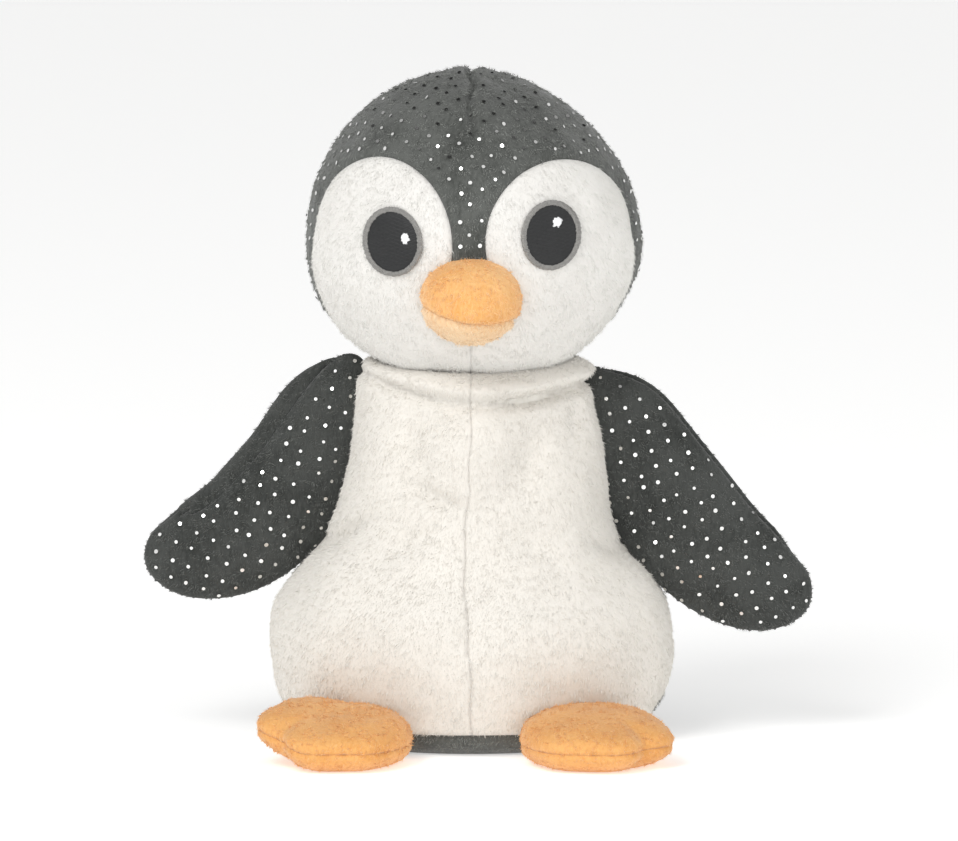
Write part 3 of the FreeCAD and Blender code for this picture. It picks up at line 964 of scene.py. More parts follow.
@dataclass
class Eye:
    """An eye embroidered on the face: a black fill, a satin border round it and a white glint."""

    side: Side
    across: float
    up: float
    glint_across: float
    glint_up: float
    glint_half: tuple[float, float] = (1.6, 1.6)
    half_width: float = 10.0
    half_height: float = 11.6
    border: float = 1.8
    raised: float = 0.95
    thread: float = 0.6

    def covers(self, point: Vector) -> float:
        """Gives how much of the face's pile is gone under the stitching.

        Args:
            point: A point of the face.

        Returns:
            The share that is gone.
        """
        reach = math.hypot((point.x - self.across) / (self.half_width - 0.3),
                           (point.z - self.up) / (self.half_height - 0.3))
        return 1.0 - ramp(reach, 0.97, 1.02) if point.y < 0 else 0.0

    def _lay(self, head: "Head", mesh: bmesh.types.BMesh, height: Callable[[float, float], float]) -> None:
        """Lays a flat shape on the face.

        Args:
            head: The head.
            mesh: Points with their place across and up from the eye's centre as x and y.
            height: Height of the thread at such a place.
        """
        for vertex in mesh.verts:
            x, z, extra = vertex.co.x, vertex.co.y, vertex.co.z
            place, out = head.front(self.across + x, self.up + z)
            vertex.co = place + out * (height(x, z) + extra)

    def _disc(self, half_width: float, half_height: float, cells: int) -> bmesh.types.BMesh:
        """Rounds a square grid to an ellipse, so that its rim is smooth.

        Args:
            half_width: The ellipse's half width.
            half_height: Its half height.
            cells: Faces across it.

        Returns:
            The flat mesh.
        """
        mesh = bmesh.new()
        bmesh.ops.create_grid(mesh, x_segments=cells, y_segments=cells, size=1.0)
        for vertex in mesh.verts:
            u, v = vertex.co.x, vertex.co.y
            vertex.co = Vector((half_width * u * math.sqrt(1 - v * v / 2),
                                half_height * v * math.sqrt(1 - u * u / 2), 0))
        return mesh

    def _ring(self) -> bmesh.types.BMesh:
        """Sweeps the satin border round the eye, as a low arch with a ridge for each stitch.

        Returns:
            The border, flat on its back.
        """
        mesh = bmesh.new()
        steps, bends = 560, 9
        arch_height, ridge_height, sunk, slant = 0.75, 0.2, 0.35, 1.6
        bmesh.ops.create_grid(mesh, x_segments=steps, y_segments=bends, size=1.0)
        stitches = round(math.pi * (self.half_width + self.half_height) / self.thread)
        for vertex in mesh.verts:
            turn, bend = math.pi * (vertex.co.x + 1), vertex.co.y
            ripple = 0.26 * noise.noise(Vector((math.cos(turn), math.sin(turn), 0.3)) * 14)
            inward = self.border * (0.5 - 0.5 * bend) + ripple
            arch = math.sqrt(max(0.0, 1 - abs(bend) ** 2.6))
            ridge = ridge_height * math.cos(turn * stitches + slant * bend) * arch
            vertex.co = Vector(((self.half_width - inward) * math.cos(turn),
                                (self.half_height - inward) * math.sin(turn),
                                arch_height * arch + ridge - sunk))
        bmesh.ops.remove_doubles(mesh, verts=mesh.verts, dist=0.001)
        return mesh

    def make(self, head: "Head") -> list[bpy.types.Object]:
        """Stitches the eye on the face.

        Args:
            head: The head.

        Returns:
            The border, the pupil and the glint.
        """
        inner = self.half_width - self.border + 0.5, self.half_height - self.border + 0.5
        pupil = self._disc(*inner, 96)

        def rows(x: float, z: float) -> float:
            """Gives the height of the fill stitches, whose rows sink at their ends.

            Args:
                x: Place across from the eye's centre.
                z: Place up from it.

            Returns:
                The height of the thread over the face.
            """
            edge = max(0.0, 1 - math.hypot(x / inner[0], z / inner[1]) ** 6)
            row = 0.12 * math.cos(2 * math.pi * (z + 0.3 * x) / self.thread)
            end = 0.08 * math.cos(2 * math.pi * (x / 3.2 + 0.5 * round(z / self.thread)))
            return self.raised * 0.72 + (row + end) * edge + 0.25 * edge

        self._lay(head, pupil, rows)
        ring = self._ring()
        self._lay(head, ring, lambda x, z: self.raised)
        glint = self._disc(*self.glint_half, 20)
        for vertex in glint.verts:
            turn = math.atan2(vertex.co.y, vertex.co.x)
            uneven = noise.noise(Vector((math.cos(turn), math.sin(turn), self.side.value)) * 2.1)
            vertex.co *= 1 + 0.5 * uneven
        bmesh.ops.translate(glint, vec=(self.glint_across, self.glint_up, 0), verts=glint.verts)

        def satin(x: float, z: float) -> float:
            """Gives the height of the glint's upright stitches over the fill.

            Args:
                x: Place across from the eye's centre.
                z: Place up from it.

            Returns:
                The height of the thread over the face.
            """
            reach = math.hypot((x - self.glint_across) / self.glint_half[0],
                               (z - self.glint_up) / self.glint_half[1])
            arch = 0.38 * math.sqrt(max(0.0, 1 - reach ** 2))
            return self.raised + arch + 0.05 * math.cos(2 * math.pi * x / 0.45)

        self._lay(head, glint, satin)
        pieces = []
        for part, mesh, finish, slot in (("border", ring, BORDER, "eye_border_thread"),
                                         ("pupil", pupil, PUPIL, "pupil_thread"),
                                         ("glint", glint, GLINT, "glint_thread")):
            facing_out(mesh)
            if sum(face.normal.y for face in mesh.faces) > 0:
                bmesh.ops.reverse_faces(mesh, faces=mesh.faces)
            bmesh.ops.scale(mesh, vec=(MM, MM, MM), verts=mesh.verts)
            piece = as_object(mesh, f"{self.side.word}_eye_{part}_stitching", finish)
            thicken(piece, 0.5)
            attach(piece, "head")
            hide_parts(f"{self.side.word}_eye_{part}")
            pieces.append(piece)
        return pieces


@dataclass
class Beak:
    """The stuffed beak: a fuller upper panel and a paler lower one, with a mouth seam that sags."""

    half_width: float = 17.0
    half_depth: float = 18.5
    half_height: float = 14.8
    mouth_drop: float = 7.2
    mouth_sag: float = 4.2
    mouth_lowest: float = 6.0
    middle: Vector = field(default_factory=lambda: Vector((0.0, -50.0, 156.5)))

    def point(self, n: Vector) -> Vector:
        """Gives the beak's surface.

        Args:
            n: Direction from the beak's middle.

        Returns:
            The point there.
        """
        fuller = 1.0 + 0.05 * max(0.0, n.z)
        tip = 1.6 * bell(math.hypot(n.x - 0.1, n.z + 0.3), 0.4) if n.y < 0 else 0.0
        lump = 0.35 * noise.noise(n * 2.3 + Vector((5.0, 2.0, 9.0)))
        reach = Vector((self.half_width * n.x * fuller, self.half_depth * n.y - tip,
                        self.half_height * n.z))
        return self.middle + reach * (1 + lump / 16)

    def mouth(self, point: Vector) -> float:
        """Gives the distance over the mouth seam, which sags to its lowest point left of the middle.

        Args:
            point: A point of the beak.

        Returns:
            The distance, below zero on the lower panel.
        """
        aside = (point.x - self.middle.x - self.mouth_lowest) / 20
        return point.z - (self.middle.z - self.mouth_drop + self.mouth_sag * aside ** 2)

    def make(self) -> list[bpy.types.Object]:
        """Sews the beak round its filling.

        Returns:
            The pieces of its skin.
        """
        panels = {"upper": Panel("beak_upper_plush", BEAK, ("beak_upper",), "head"),
                  "lower": Panel("beak_lower_plush", LIGHT_BEAK, ("beak_lower",), "head")}
        pucker = Seam(lambda p: (p - self.middle - Vector((4.0, -19.0, -6.6))).length, 1.1, 1.6, parts=False)
        form = Sewn(ball(6, self.point), [Seam(self.mouth, 1.2, 1.1), pucker], panels,
                    lambda p, sides: "upper" if sides[0] > 0 else "lower",
                    bare=lambda p: ramp(p.y, -44.0, -41.0),
                    nap=lambda p: Vector((0.25 * p.x / 17, -0.4, -0.9)))
        made = form.make()
        stuffed_core("beak_wadding", ball(4, self.point), 2.0, WADDING, "head", "stuffing", "beak_stuffing")
        return settle(panels, made, {}, 300)


@dataclass
class Head:
    """The head: an egg of five panels, with two embroidered eyes and a beak.

    Attributes:
        half_width: Half width at the middle.
        half_depth: Half depth at the middle.
        rise: Height of the crown over the middle.
        drop: Depth of the chin under it.
        cloth: Thickness of the cloth over the filling.
        patch_out: How far each white patch's middle lies from the middle seam.
        patch_up: How far it lies over the head's middle.
        patches: Side, height over patch_up, half width and half height of each patch.
        cheek_back: How far back the white cheek reaches, beside the patches.
        cheek_lean: How the cheek's back edge leans, in radians.
        peak_down: Where the dark peak between the patches ends, under the middle.
        corner: Roundness of the corner between patch and cheek.
        crown_back: Where the crown panel ends at the back.
        narrower: How much narrower the head is on its right and left.
        brow_trim: How much flatter it is above the left eye.
        chin_sag: How much lower the chin hangs.
        beak: The beak.
        eyes: The eyes.
    """

    half_width: float = 58.0
    half_depth: float = 54.0
    rise: float = 57.5
    drop: float = 49.0
    cloth: float = 1.6
    patch_out: float = 30.0
    patch_up: float = 4.0
    patches: tuple[tuple[Side, float, float, float], ...] = ((Side.RIGHT, 0.0, 23.4, 28.6),
                                                             (Side.LEFT, 1.0, 24.8, 26.6))
    cheek_back: float = -17.6
    cheek_lean: float = math.radians(21.8)
    peak_down: float = 11.0
    corner: float = 1.6
    crown_back: float = 10.0
    narrower: tuple[float, float] = (2.2, 0.5)
    brow_trim: float = 3.4
    chin_sag: float = 1.8
    beak: Beak = field(default_factory=Beak)
    eyes: list[Eye] = field(default_factory=list)

    def __post_init__(self) -> None:
        """Takes the head's height from the frame and places the eyes."""
        self.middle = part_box("head_stuffing")[1].z / MM + self.cloth - self.rise
        self.eyes = [Eye(Side.RIGHT, -26.1, self.middle + 5.0, 4.3, 1.4, (1.4, 1.7)),
                     Eye(Side.LEFT, 26.7, self.middle + 7.1, 1.9, 4.4, (1.5, 1.6))]

    def point(self, n: Vector) -> Vector:
        """Gives the head's surface.

        Args:
            n: Direction from the head's middle.

        Returns:
            The point there.
        """
        up = self.rise if n.z >= 0 else self.drop
        half_width = self.half_width - self.narrower[0 if n.x < 0 else 1] * abs(n.x)
        place = Vector((half_width * n.x, self.half_depth * n.y, self.middle + up * n.z))
        lump = 0.9 * noise.noise(n * 2.6 + Vector((3.1, 7.7, 1.3))) + 0.35 * noise.noise(n * 7.0)
        place -= n * self.brow_trim * max(0.0, n.x) * max(0.0, n.z)
        place -= UP * self.chin_sag * ramp(-n.z, 0.5, 0.8) * ramp(-n.y, 0.2, 0.5)
        beside_dart = 0.9 * bell(abs(place.x) - 4.0, 3.0) * ramp(n.z, 0.6, 0.95)
        return place + n * (lump + beside_dart)

    def front(self, across: float, up: float) -> Ray:
        """Finds a place on the plain egg, straight behind a place seen from the front.

        Args:
            across: Place to the toy's left of the middle.
            up: Height.

        Returns:
            The point and the outward direction there.
        """
        rise = self.rise if up >= self.middle else self.drop
        left = 1 - (across / self.half_width) ** 2 - ((up - self.middle) / rise) ** 2
        place = Vector((across, -self.half_depth * math.sqrt(max(left, 0.01)), up))
        out = Vector((place.x / self.half_width ** 2, place.y / self.half_depth ** 2,
                      (up - self.middle) / rise ** 2))
        return place, out.normalized()

    def white(self, point: Vector) -> float:
        """Gives the distance inside the white face.

        Args:
            point: A point of the head.

        Returns:
            The distance to the face's edge, below zero on the dark hood.
        """
        patch = self.middle + self.patch_up
        inside = -99.0
        for side, higher, half_width, half_height in self.patches:
            dx, dz = point.x - side.value * (self.patch_out - 0.2), point.z - patch - higher
            share = math.hypot(dx / half_width, dz / half_height)
            steep = math.hypot(dx / half_width ** 2, dz / half_height ** 2)
            if steep > 0:
                inside = max(inside, min((1 - share) * share / steep, -point.y))
        back = self.cheek_back + math.tan(self.cheek_lean) * (patch - point.z) - point.y
        outer = min(abs(point.x) - self.patch_out, patch - point.z)
        below = max(self.middle - self.peak_down - point.z, outer)
        cheek = min(back * math.cos(self.cheek_lean), below)
        # The two shapes run into each other with a rounded corner.
        return max(inside, cheek) + self.corner * math.log1p(math.exp(-abs(inside - cheek) / self.corner))

    def _dots(self, made: dict[str, bpy.types.Object]) -> dict[str, bpy.types.Object]:
        """Prints the foil dots of the hood.

        Args:
            made: The head's panels by key.

        Returns:
            The dots by panel.
        """
        middle = Vector((0.0, 0.0, self.middle))
        dots = {}
        cloths = (("crown", (0.0, -0.55, 0.83)), ("back_right", (-0.6, 0.79, 0.1)),
                  ("back_left", (0.6, 0.79, 0.1)))
        for number, (key, facing) in enumerate(cloths):
            ahead = Vector(facing).normalized()
            side = ahead.cross(UP).normalized()
            up = side.cross(ahead)

            def rays() -> Iterator[Ray]:
                """Sends rays from the middle of the head, evenly spread over the cloth.

                Yields:
                    A ray's start and direction.
                """
                for across, along in lattice(95, 95):
                    turn = math.hypot(across, along) / 56.0
                    if 0 < turn < 1.9:
                        aside = (side * across + up * along).normalized()
                        yield middle, (ahead * math.cos(turn) + aside * math.sin(turn)).normalized()

            found = print_dots(made[key], rays(), 40 + number)
            if found:
                dots[key] = found
        return dots

    def make(self) -> list[bpy.types.Object]:
        """Sews the head and everything on it.

        Returns:
            The pieces of its skin, eyes and beak.
        """
        panels = {
            "crown": Panel("crown_plush", DARK, ("crown_panel",), "head"),
            "back_right": Panel("head_back_right_plush", DARK, ("head_back_right",), "head"),
            "back_left": Panel("head_back_left_plush", DARK, ("head_back_left",), "head"),
            "face_right": Panel("face_right_plush", WHITE, ("face_right",), "head"),
            "face_left": Panel("face_left_plush", WHITE, ("face_left",), "head"),
        }

        def panel_of(place: Vector, sides: Sequence[float]) -> str:
            """Finds the panel that a face belongs to.

            Args:
                place: The face's middle.
                sides: The sign of each seam's distance there.

            Returns:
                The panel's key.
            """
            white, back, left = (side > 0 for side in sides[:3])
            hand = "left" if left else "right"
            return f"face_{hand}" if white else f"back_{hand}" if back else "crown"

        def middle_covers(p: Vector) -> float:
            """Gives the middle seam's pull, which is below the beak and down the back.

            Args:
                p: A point of the head.

            Returns:
                The share of the pull.
            """
            behind = 0.8 * ramp(p.y, self.crown_back - 1, self.crown_back + 1)
            return behind + (0.5 * ramp(150 - p.z, 0, 8) if p.y < 0 else 0)

        def dart_covers(p: Vector) -> float:
            """Gives the pull of the dart, from the crown seam towards the forehead.

            Args:
                p: A point of the head.

            Returns:
                The share of the pull.
            """
            ahead = 1 - ramp(p.y, self.crown_back, self.crown_back + 1)
            return ramp(p.y, -41, -37) * ahead * ramp(p.z, 190, 205)

        seams = [Seam(self.white, 0.9, 1.2),
                 Seam(lambda p: p.y - self.crown_back, 0.9, 1.3, covers=lambda p: ramp(p.z, 118, 128)),
                 Seam(lambda p: p.x, 0.5, 0.7, covers=middle_covers),
                 Seam(lambda p: p.x - 0.9 * math.sin(p.y * 0.28), 1.9, 1.1, covers=dart_covers, parts=False)]

        def bare(p: Vector) -> float:
            """Leaves the pile off under the eyes, under the beak and in the neck.

            Args:
                p: A point of the head.

            Returns:
                The share of the pile that is missing.
            """
            beak = p - self.beak.middle
            under = math.hypot(beak.x / (self.beak.half_width - 1), beak.z / (self.beak.half_height - 1))
            hidden = 1 - ramp(under, 0.9, 1.0) if p.y < 0 else 0
            return max(hidden, 1 - ramp(p.z, 122, 125), *(eye.covers(p) for eye in self.eyes))

        form = Sewn(ball(7, self.point), seams, panels, panel_of, bare,
                    nap=lambda p: Vector((0.012 * p.x, -0.5 if p.z > 190 and p.y < self.crown_back else 0.0,
                                          -1.0)))
        made = form.make()
        dots = self._dots(made)
        pieces = settle(panels, made, dots, 100)
        stuffed_core("head_wadding", ball(5, self.point), 2.2, WADDING, "head", "stuffing", "head_stuffing")
        for eye in self.eyes:
            pieces += eye.make(self)
        return pieces + self.beak.make()


@dataclass(frozen=True)
class Crease:
    """A line that sinks into the front of the torso.

    Attributes:
        depth: How far it sinks, below zero where it stands out instead.
        up: Height of the line at its anchor.
        anchor: Place across where it has that height.
        slope: Rise of the line for each millimetre across.
        width: Half width of the furrow.
        middle: Place across where it is deepest.
        reach: How far it runs from there.
    """

    depth: float
    up: float
    anchor: float
    slope: float
    width: float
    middle: float
    reach: float

    def stands(self, x: float, z: float) -> float:
        """Gives how far the crease moves the cloth out.

        Args:
            x: Place across.
            z: Height.

        Returns:
            The distance in millimetres.
        """
        off = z - self.up - self.slope * (x - self.anchor)
        return -self.depth * bell(off, self.width) * bell(x - self.middle, self.reach)


@dataclass(frozen=True)
class Swelling:
    """A rounded place where the stuffing pushes the cloth out, or has left it hollow.

    Attributes:
        height: How far it stands out, below zero for a hollow.
        across: Place across of its middle.
        up: Height of its middle.
        half_width: Its half width.
        half_height: Its half height.
        slope: How it leans, as rise for each millimetre across.
    """

    height: float
    across: float
    up: float
    half_width: float
    half_height: float
    slope: float = 0.0

    def stands(self, x: float, z: float) -> float:
        """Gives how far the swelling moves the cloth out.

        Args:
            x: Place across.
            z: Height.

        Returns:
            The distance in millimetres.
        """
        aside = x - self.across
        off = math.hypot(aside / self.half_width, (z - self.up - self.slope * aside) / self.half_height)
        return self.height * bell(off, 1.0)


@dataclass
class Torso:
    """The body: a pear of four panels on a dark base, with the collar that the head sits in.

    Attributes:
        rows: Height, half width and half depth of the pear.
        floor_share: Share of the way from pole to pole that lies under the base.
        collar_share: Share of that way where the collar's rim is reached.
        collar_front: Height of the rim at the front.
        collar_side: Height of the rim at the sides and back.
        rolled: How far the rim rolls in, as a share.
        roll_height: Height over which it rolls in.
        narrower: How much narrower the chest is on its right.
        bowl: Half width, half depth, drop and middle height of the hollow under the head.
        chin: Half width, half depth, middle height and drop of the head that sits on it.
        chin_gap: Room left under the chin.
        base_seam: Height of the base seam.
        collar_fold: Height of the fold under the collar.
        creases: Creases in the front.
        swellings: Swellings and hollows in the front.
    """

    rows: tuple[tuple[float, float, float], ...] = (
        (0, 50, 38), (2, 55.6, 42), (5, 59.5, 45), (10, 63, 48), (18, 66.5, 51), (28, 68, 53), (38, 68, 53),
        (47, 66.3, 51.5), (54, 62, 49), (62, 55.5, 46.5), (70, 50.2, 44.6), (78, 47.5, 43), (90, 46, 41),
        (102, 44.6, 39.5), (116, 42, 37.5), (126, 41, 36.5), (132, 39, 35))
    floor_share: float = 0.17
    collar_share: float = 0.86
    collar_front: float = 129.6
    collar_side: float = 131.0
    rolled: float = 0.115
    roll_height: float = 6.0
    narrower: float = 3.0
    bowl: tuple[float, float, float, float] = (74.0, 84.0, 56.0, 176.5)
    chin: tuple[float, float, float, float] = (57.0, 54.0, 171.0, 49.0)
    chin_gap: float = 1.2
    base_seam: float = 7.0
    collar_fold: float = 119.3
    creases: tuple[Crease, ...] = (
        Crease(2.2, 88, -14, -0.37, 2.6, -12, 12), Crease(-1.0, 94, -14, -0.37, 3.0, -16, 10),
        Crease(1.8, 74, -18, 0.5, 4.5, -20, 13), Crease(1.6, 70, 22, -0.6, 5.0, 22, 13),
        Crease(3.6, 71, -46, 0.75, 2.2, -46, 9), Crease(2.4, 66, 50, -0.5, 2.6, 50, 9))
    swellings: tuple[Swelling, ...] = (
        Swelling(-2.2, 22, 98, 5, 12, slope=1.2), Swelling(-1.8, 36, 112, 3, 6),
        Swelling(1.8, -44, 62, 9, 6), Swelling(1.4, -20, 42, 20, 16), Swelling(1.2, 24, 36, 20, 16),
        Swelling(-1.0, 4, 52, 10, 14))

    def point(self, n: Vector) -> Vector:
        """Gives the torso's surface: under the base, up the side, or in the collar.

        Args:
            n: Direction from the sphere's middle that stands for the point.

        Returns:
            The point.
        """
        share = 1 - math.acos(max(-1.0, min(1.0, n.z))) / math.pi
        turn = math.atan2(n.y, n.x)
        ahead = max(0.0, -math.sin(turn)) ** 2
        top = self.collar_front + (self.collar_side - self.collar_front) * (1 - ahead)
        if share < self.floor_share:
            reach, z = share / self.floor_share, 0.0
        elif share < self.collar_share:
            climb = (share - self.floor_share) / (self.collar_share - self.floor_share)
            z = top * climb ** 1.15
            reach = 1 - self.rolled * max(0.0, (z - top + self.roll_height) / self.roll_height) ** 2
        else:
            inwards = (share - self.collar_share) / (1 - self.collar_share)
            reach = (1 - self.rolled) * (1 - inwards)
            z = min(top, self._under_head(reach, turn, inwards))
        half_width = read_table(self.rows, z, 1) - (self.narrower * ramp(z, 62, 96) if n.x < 0 else 0.0)
        place = Vector((reach * half_width * math.cos(turn),
                        reach * read_table(self.rows, z, 2) * math.sin(turn), z))
        if self.floor_share <= share < self.collar_share:
            place += Vector((n.x, n.y, 0)).normalized() * self.folds(place)
        return place

    def _under_head(self, reach: float, turn: float, inwards: float) -> float:
        """Gives the height of the hollow that the head sits in.

        Args:
            reach: Share of the rim's width at the point.
            turn: Direction of the point round the torso.
            inwards: Share of the way from the rim to the middle.

        Returns:
            The height.
        """
        _, rim_width, rim_depth = self.rows[-1]
        x, y = reach * rim_width * math.cos(turn), reach * rim_depth * math.sin(turn)
        wide, long, tall, centre = self.bowl
        floor = centre - tall * math.sqrt(1 - (x / wide) ** 2 - (y / long) ** 2)
        wide, long, centre, drop = self.chin
        chin = centre - drop * math.sqrt(1 - (x / wide) ** 2 - (y / long) ** 2) - self.chin_gap
        return chin + (floor - chin) * ramp(inwards, 0.05, 0.6)

    def _gathered(self, x: float, z: float) -> float:
        """Gives how far the fold under the collar moves the cloth out, with the lip over it.

        Args:
            x: Place across.
            z: Height.

        Returns:
            The distance in millimetres.
        """
        valley = z - self.collar_fold - 4.0 * ((x - 8) / 34) ** 2
        depth = 2.8 + 3.4 * bell(x - 24, 14) + 1.0 * bell(x + 26, 9)
        return 2.2 * bell(valley - 5, 4.0) - depth * bell(valley, 2.4)

    def _chest(self, x: float, z: float) -> float:
        """Gives how far the chest's round cushion and the dents beside it move the cloth out.

        Args:
            x: Place across.
            z: Height.

        Returns:
            The distance in millimetres.
        """
        ring, turn = math.hypot((x + 0.5) / 13, (z - 106.5) / 15), math.atan2(z - 106.5, x + 0.5)
        to_right = abs(turn + 2.7) if turn < 0.4 else abs(turn - 3.5)
        cushion = 4.2 * bell(ring, 0.85)
        cushion -= 3.4 * bell(ring - 1.5, 0.4) * bell(to_right, 0.75)
        return cushion - 2.6 * bell(ring - 1.45, 0.4) * bell(turn + 0.4, 0.7)

    def folds(self, p: Vector) -> float:
        """Gives how far the cloth stands out from the plain pear.

        Args:
            p: A point of the pear.

        Returns:
            The distance in millimetres, below zero where the cloth sinks.
        """
        lumps = 1.3 * noise.noise(p / 24 + Vector((2.2, 8.1, 4.4))) + 0.4 * noise.noise(p / 9)
        out = ramp(p.z, 4, 14) * lumps
        if p.y < 0:
            out += self._gathered(p.x, p.z) + self._chest(p.x, p.z)
            out += sum(fold.stands(p.x, p.z) for fold in self.creases + self.swellings)
        return out

    def side_seam(self, p: Vector) -> float:
        """Gives the distance behind the side seam, which comes forward near the base."""
        return p.y - (5.0 - 11.0 * (1 - ramp(p.z, 8, 26)))

    def make(self) -> list[bpy.types.Object]:
        """Sews the torso round its filling, and sets the neck's wad on it.

        Returns:
            The pieces of its skin.
        """
        panels = {
            "belly_right": Panel("belly_right_plush", CREAM, ("belly_right",), "torso"),
            "belly_left": Panel("belly_left_plush", CREAM, ("belly_left",), "torso"),
            "back_right": Panel("back_right_plush", DARK, ("back_right",), "torso"),
            "back_left": Panel("back_left_plush", DARK, ("back_left",), "torso"),
            "base": Panel("base_plush", DARK, ("base_panel",), "torso"),
        }

        def panel_of(place: Vector, sides: Sequence[float]) -> str:
            """Finds the panel that a face belongs to.

            Args:
                place: The face's middle.
                sides: The sign of each seam's distance there.

            Returns:
                The panel's key.
            """
            above, back, left = (side > 0 for side in sides[:3])
            return "base" if not above else ("back_" if back else "belly_") + ("left" if left else "right")

        def middle_line(p: Vector) -> float:
            """Gives the distance from the middle seam, which wanders a little on the belly.

            Args:
                p: A point of the torso.

            Returns:
                The distance, above zero on the left.
            """
            wander = -2.2 * bell(p.z - 66, 24) + 0.4 * math.sin(p.z * 0.3) if p.y < 0 else 0.0
            return p.x - wander

        seams = [Seam(lambda p: p.z - self.base_seam, 1.1, 1.4),
                 Seam(self.side_seam, 1.0, 1.3, covers=lambda p: ramp(p.z, 5, 8)),
                 Seam(middle_line, 0.3, 0.7, covers=lambda p: ramp(p.z, 6, 8))]
        mesh = bmesh.new()
        bmesh.ops.create_uvsphere(mesh, u_segments=300, v_segments=184, radius=1.0)
        for vertex in mesh.verts:
            vertex.co = self.point(vertex.co.normalized())
        form = Sewn(facing_out(mesh), seams, panels, panel_of,
                    bare=lambda p: max(1 - ramp(p.z, 0.6, 2.5),
                                       1 - ramp(math.hypot(p.x / 34, p.y / 30), 0.9, 1.0)
                                       if p.z > 110 else 0.0),
                    nap=lambda p: Vector((-0.25 + 0.002 * p.x, 0.0, -1.0)))
        made = form.make()
        dots = {}
        for number, (key, start) in enumerate((("back_right", 2.2), ("back_left", 0.95))):

            def rays() -> Iterator[Ray]:
                """Sends level rays from the middle line, evenly spread round the back.

                Yields:
                    A ray's start and direction.
                """
                for across, up in lattice(70, 75):
                    turn = start + across / 55.0
                    ahead = Vector((math.cos(turn), math.sin(turn), 0.0))
                    yield Vector((0.0, 0.0, 66.0 + up)), ahead

            found = print_dots(made[key], rays(), 60 + number)
            if found:
                dots[key] = found
        pieces = settle(panels, made, dots, 200)
        core = bmesh.new()
        bmesh.ops.create_uvsphere(core, u_segments=60, v_segments=40, radius=1.0)
        for vertex in core.verts:
            vertex.co = self.point(vertex.co.normalized())
        stuffed_core("torso_wadding", facing_out(core), 2.6, WADDING, "torso", "stuffing", "torso_stuffing")
        for name, radii, centre, finish, slot, node in (
                ("pellet_pouch_cloth", (43.5, 31.5, 15.0), 19.5, POUCH, "pouch_cloth", "pellet_pouch"),
                ("pellet_filling", (41.5, 29.5, 13.5), 19.5, PELLETS, "pellets", "pellet_fill")):
            bag = ball(5, lambda n: Vector((radii[0] * n.x, radii[1] * n.y, centre + radii[2] * n.z)))
            stuffed_core(name, bag, 0.0, finish, "torso", slot, node)
        wad = ball(4, lambda n: Vector((0, 0, 127)) + n * 14)
        stuffed_core("neck_wadding", wad, 0.0, WADDING, "neck", "stuffing", "neck_stuffing")
        return pieces


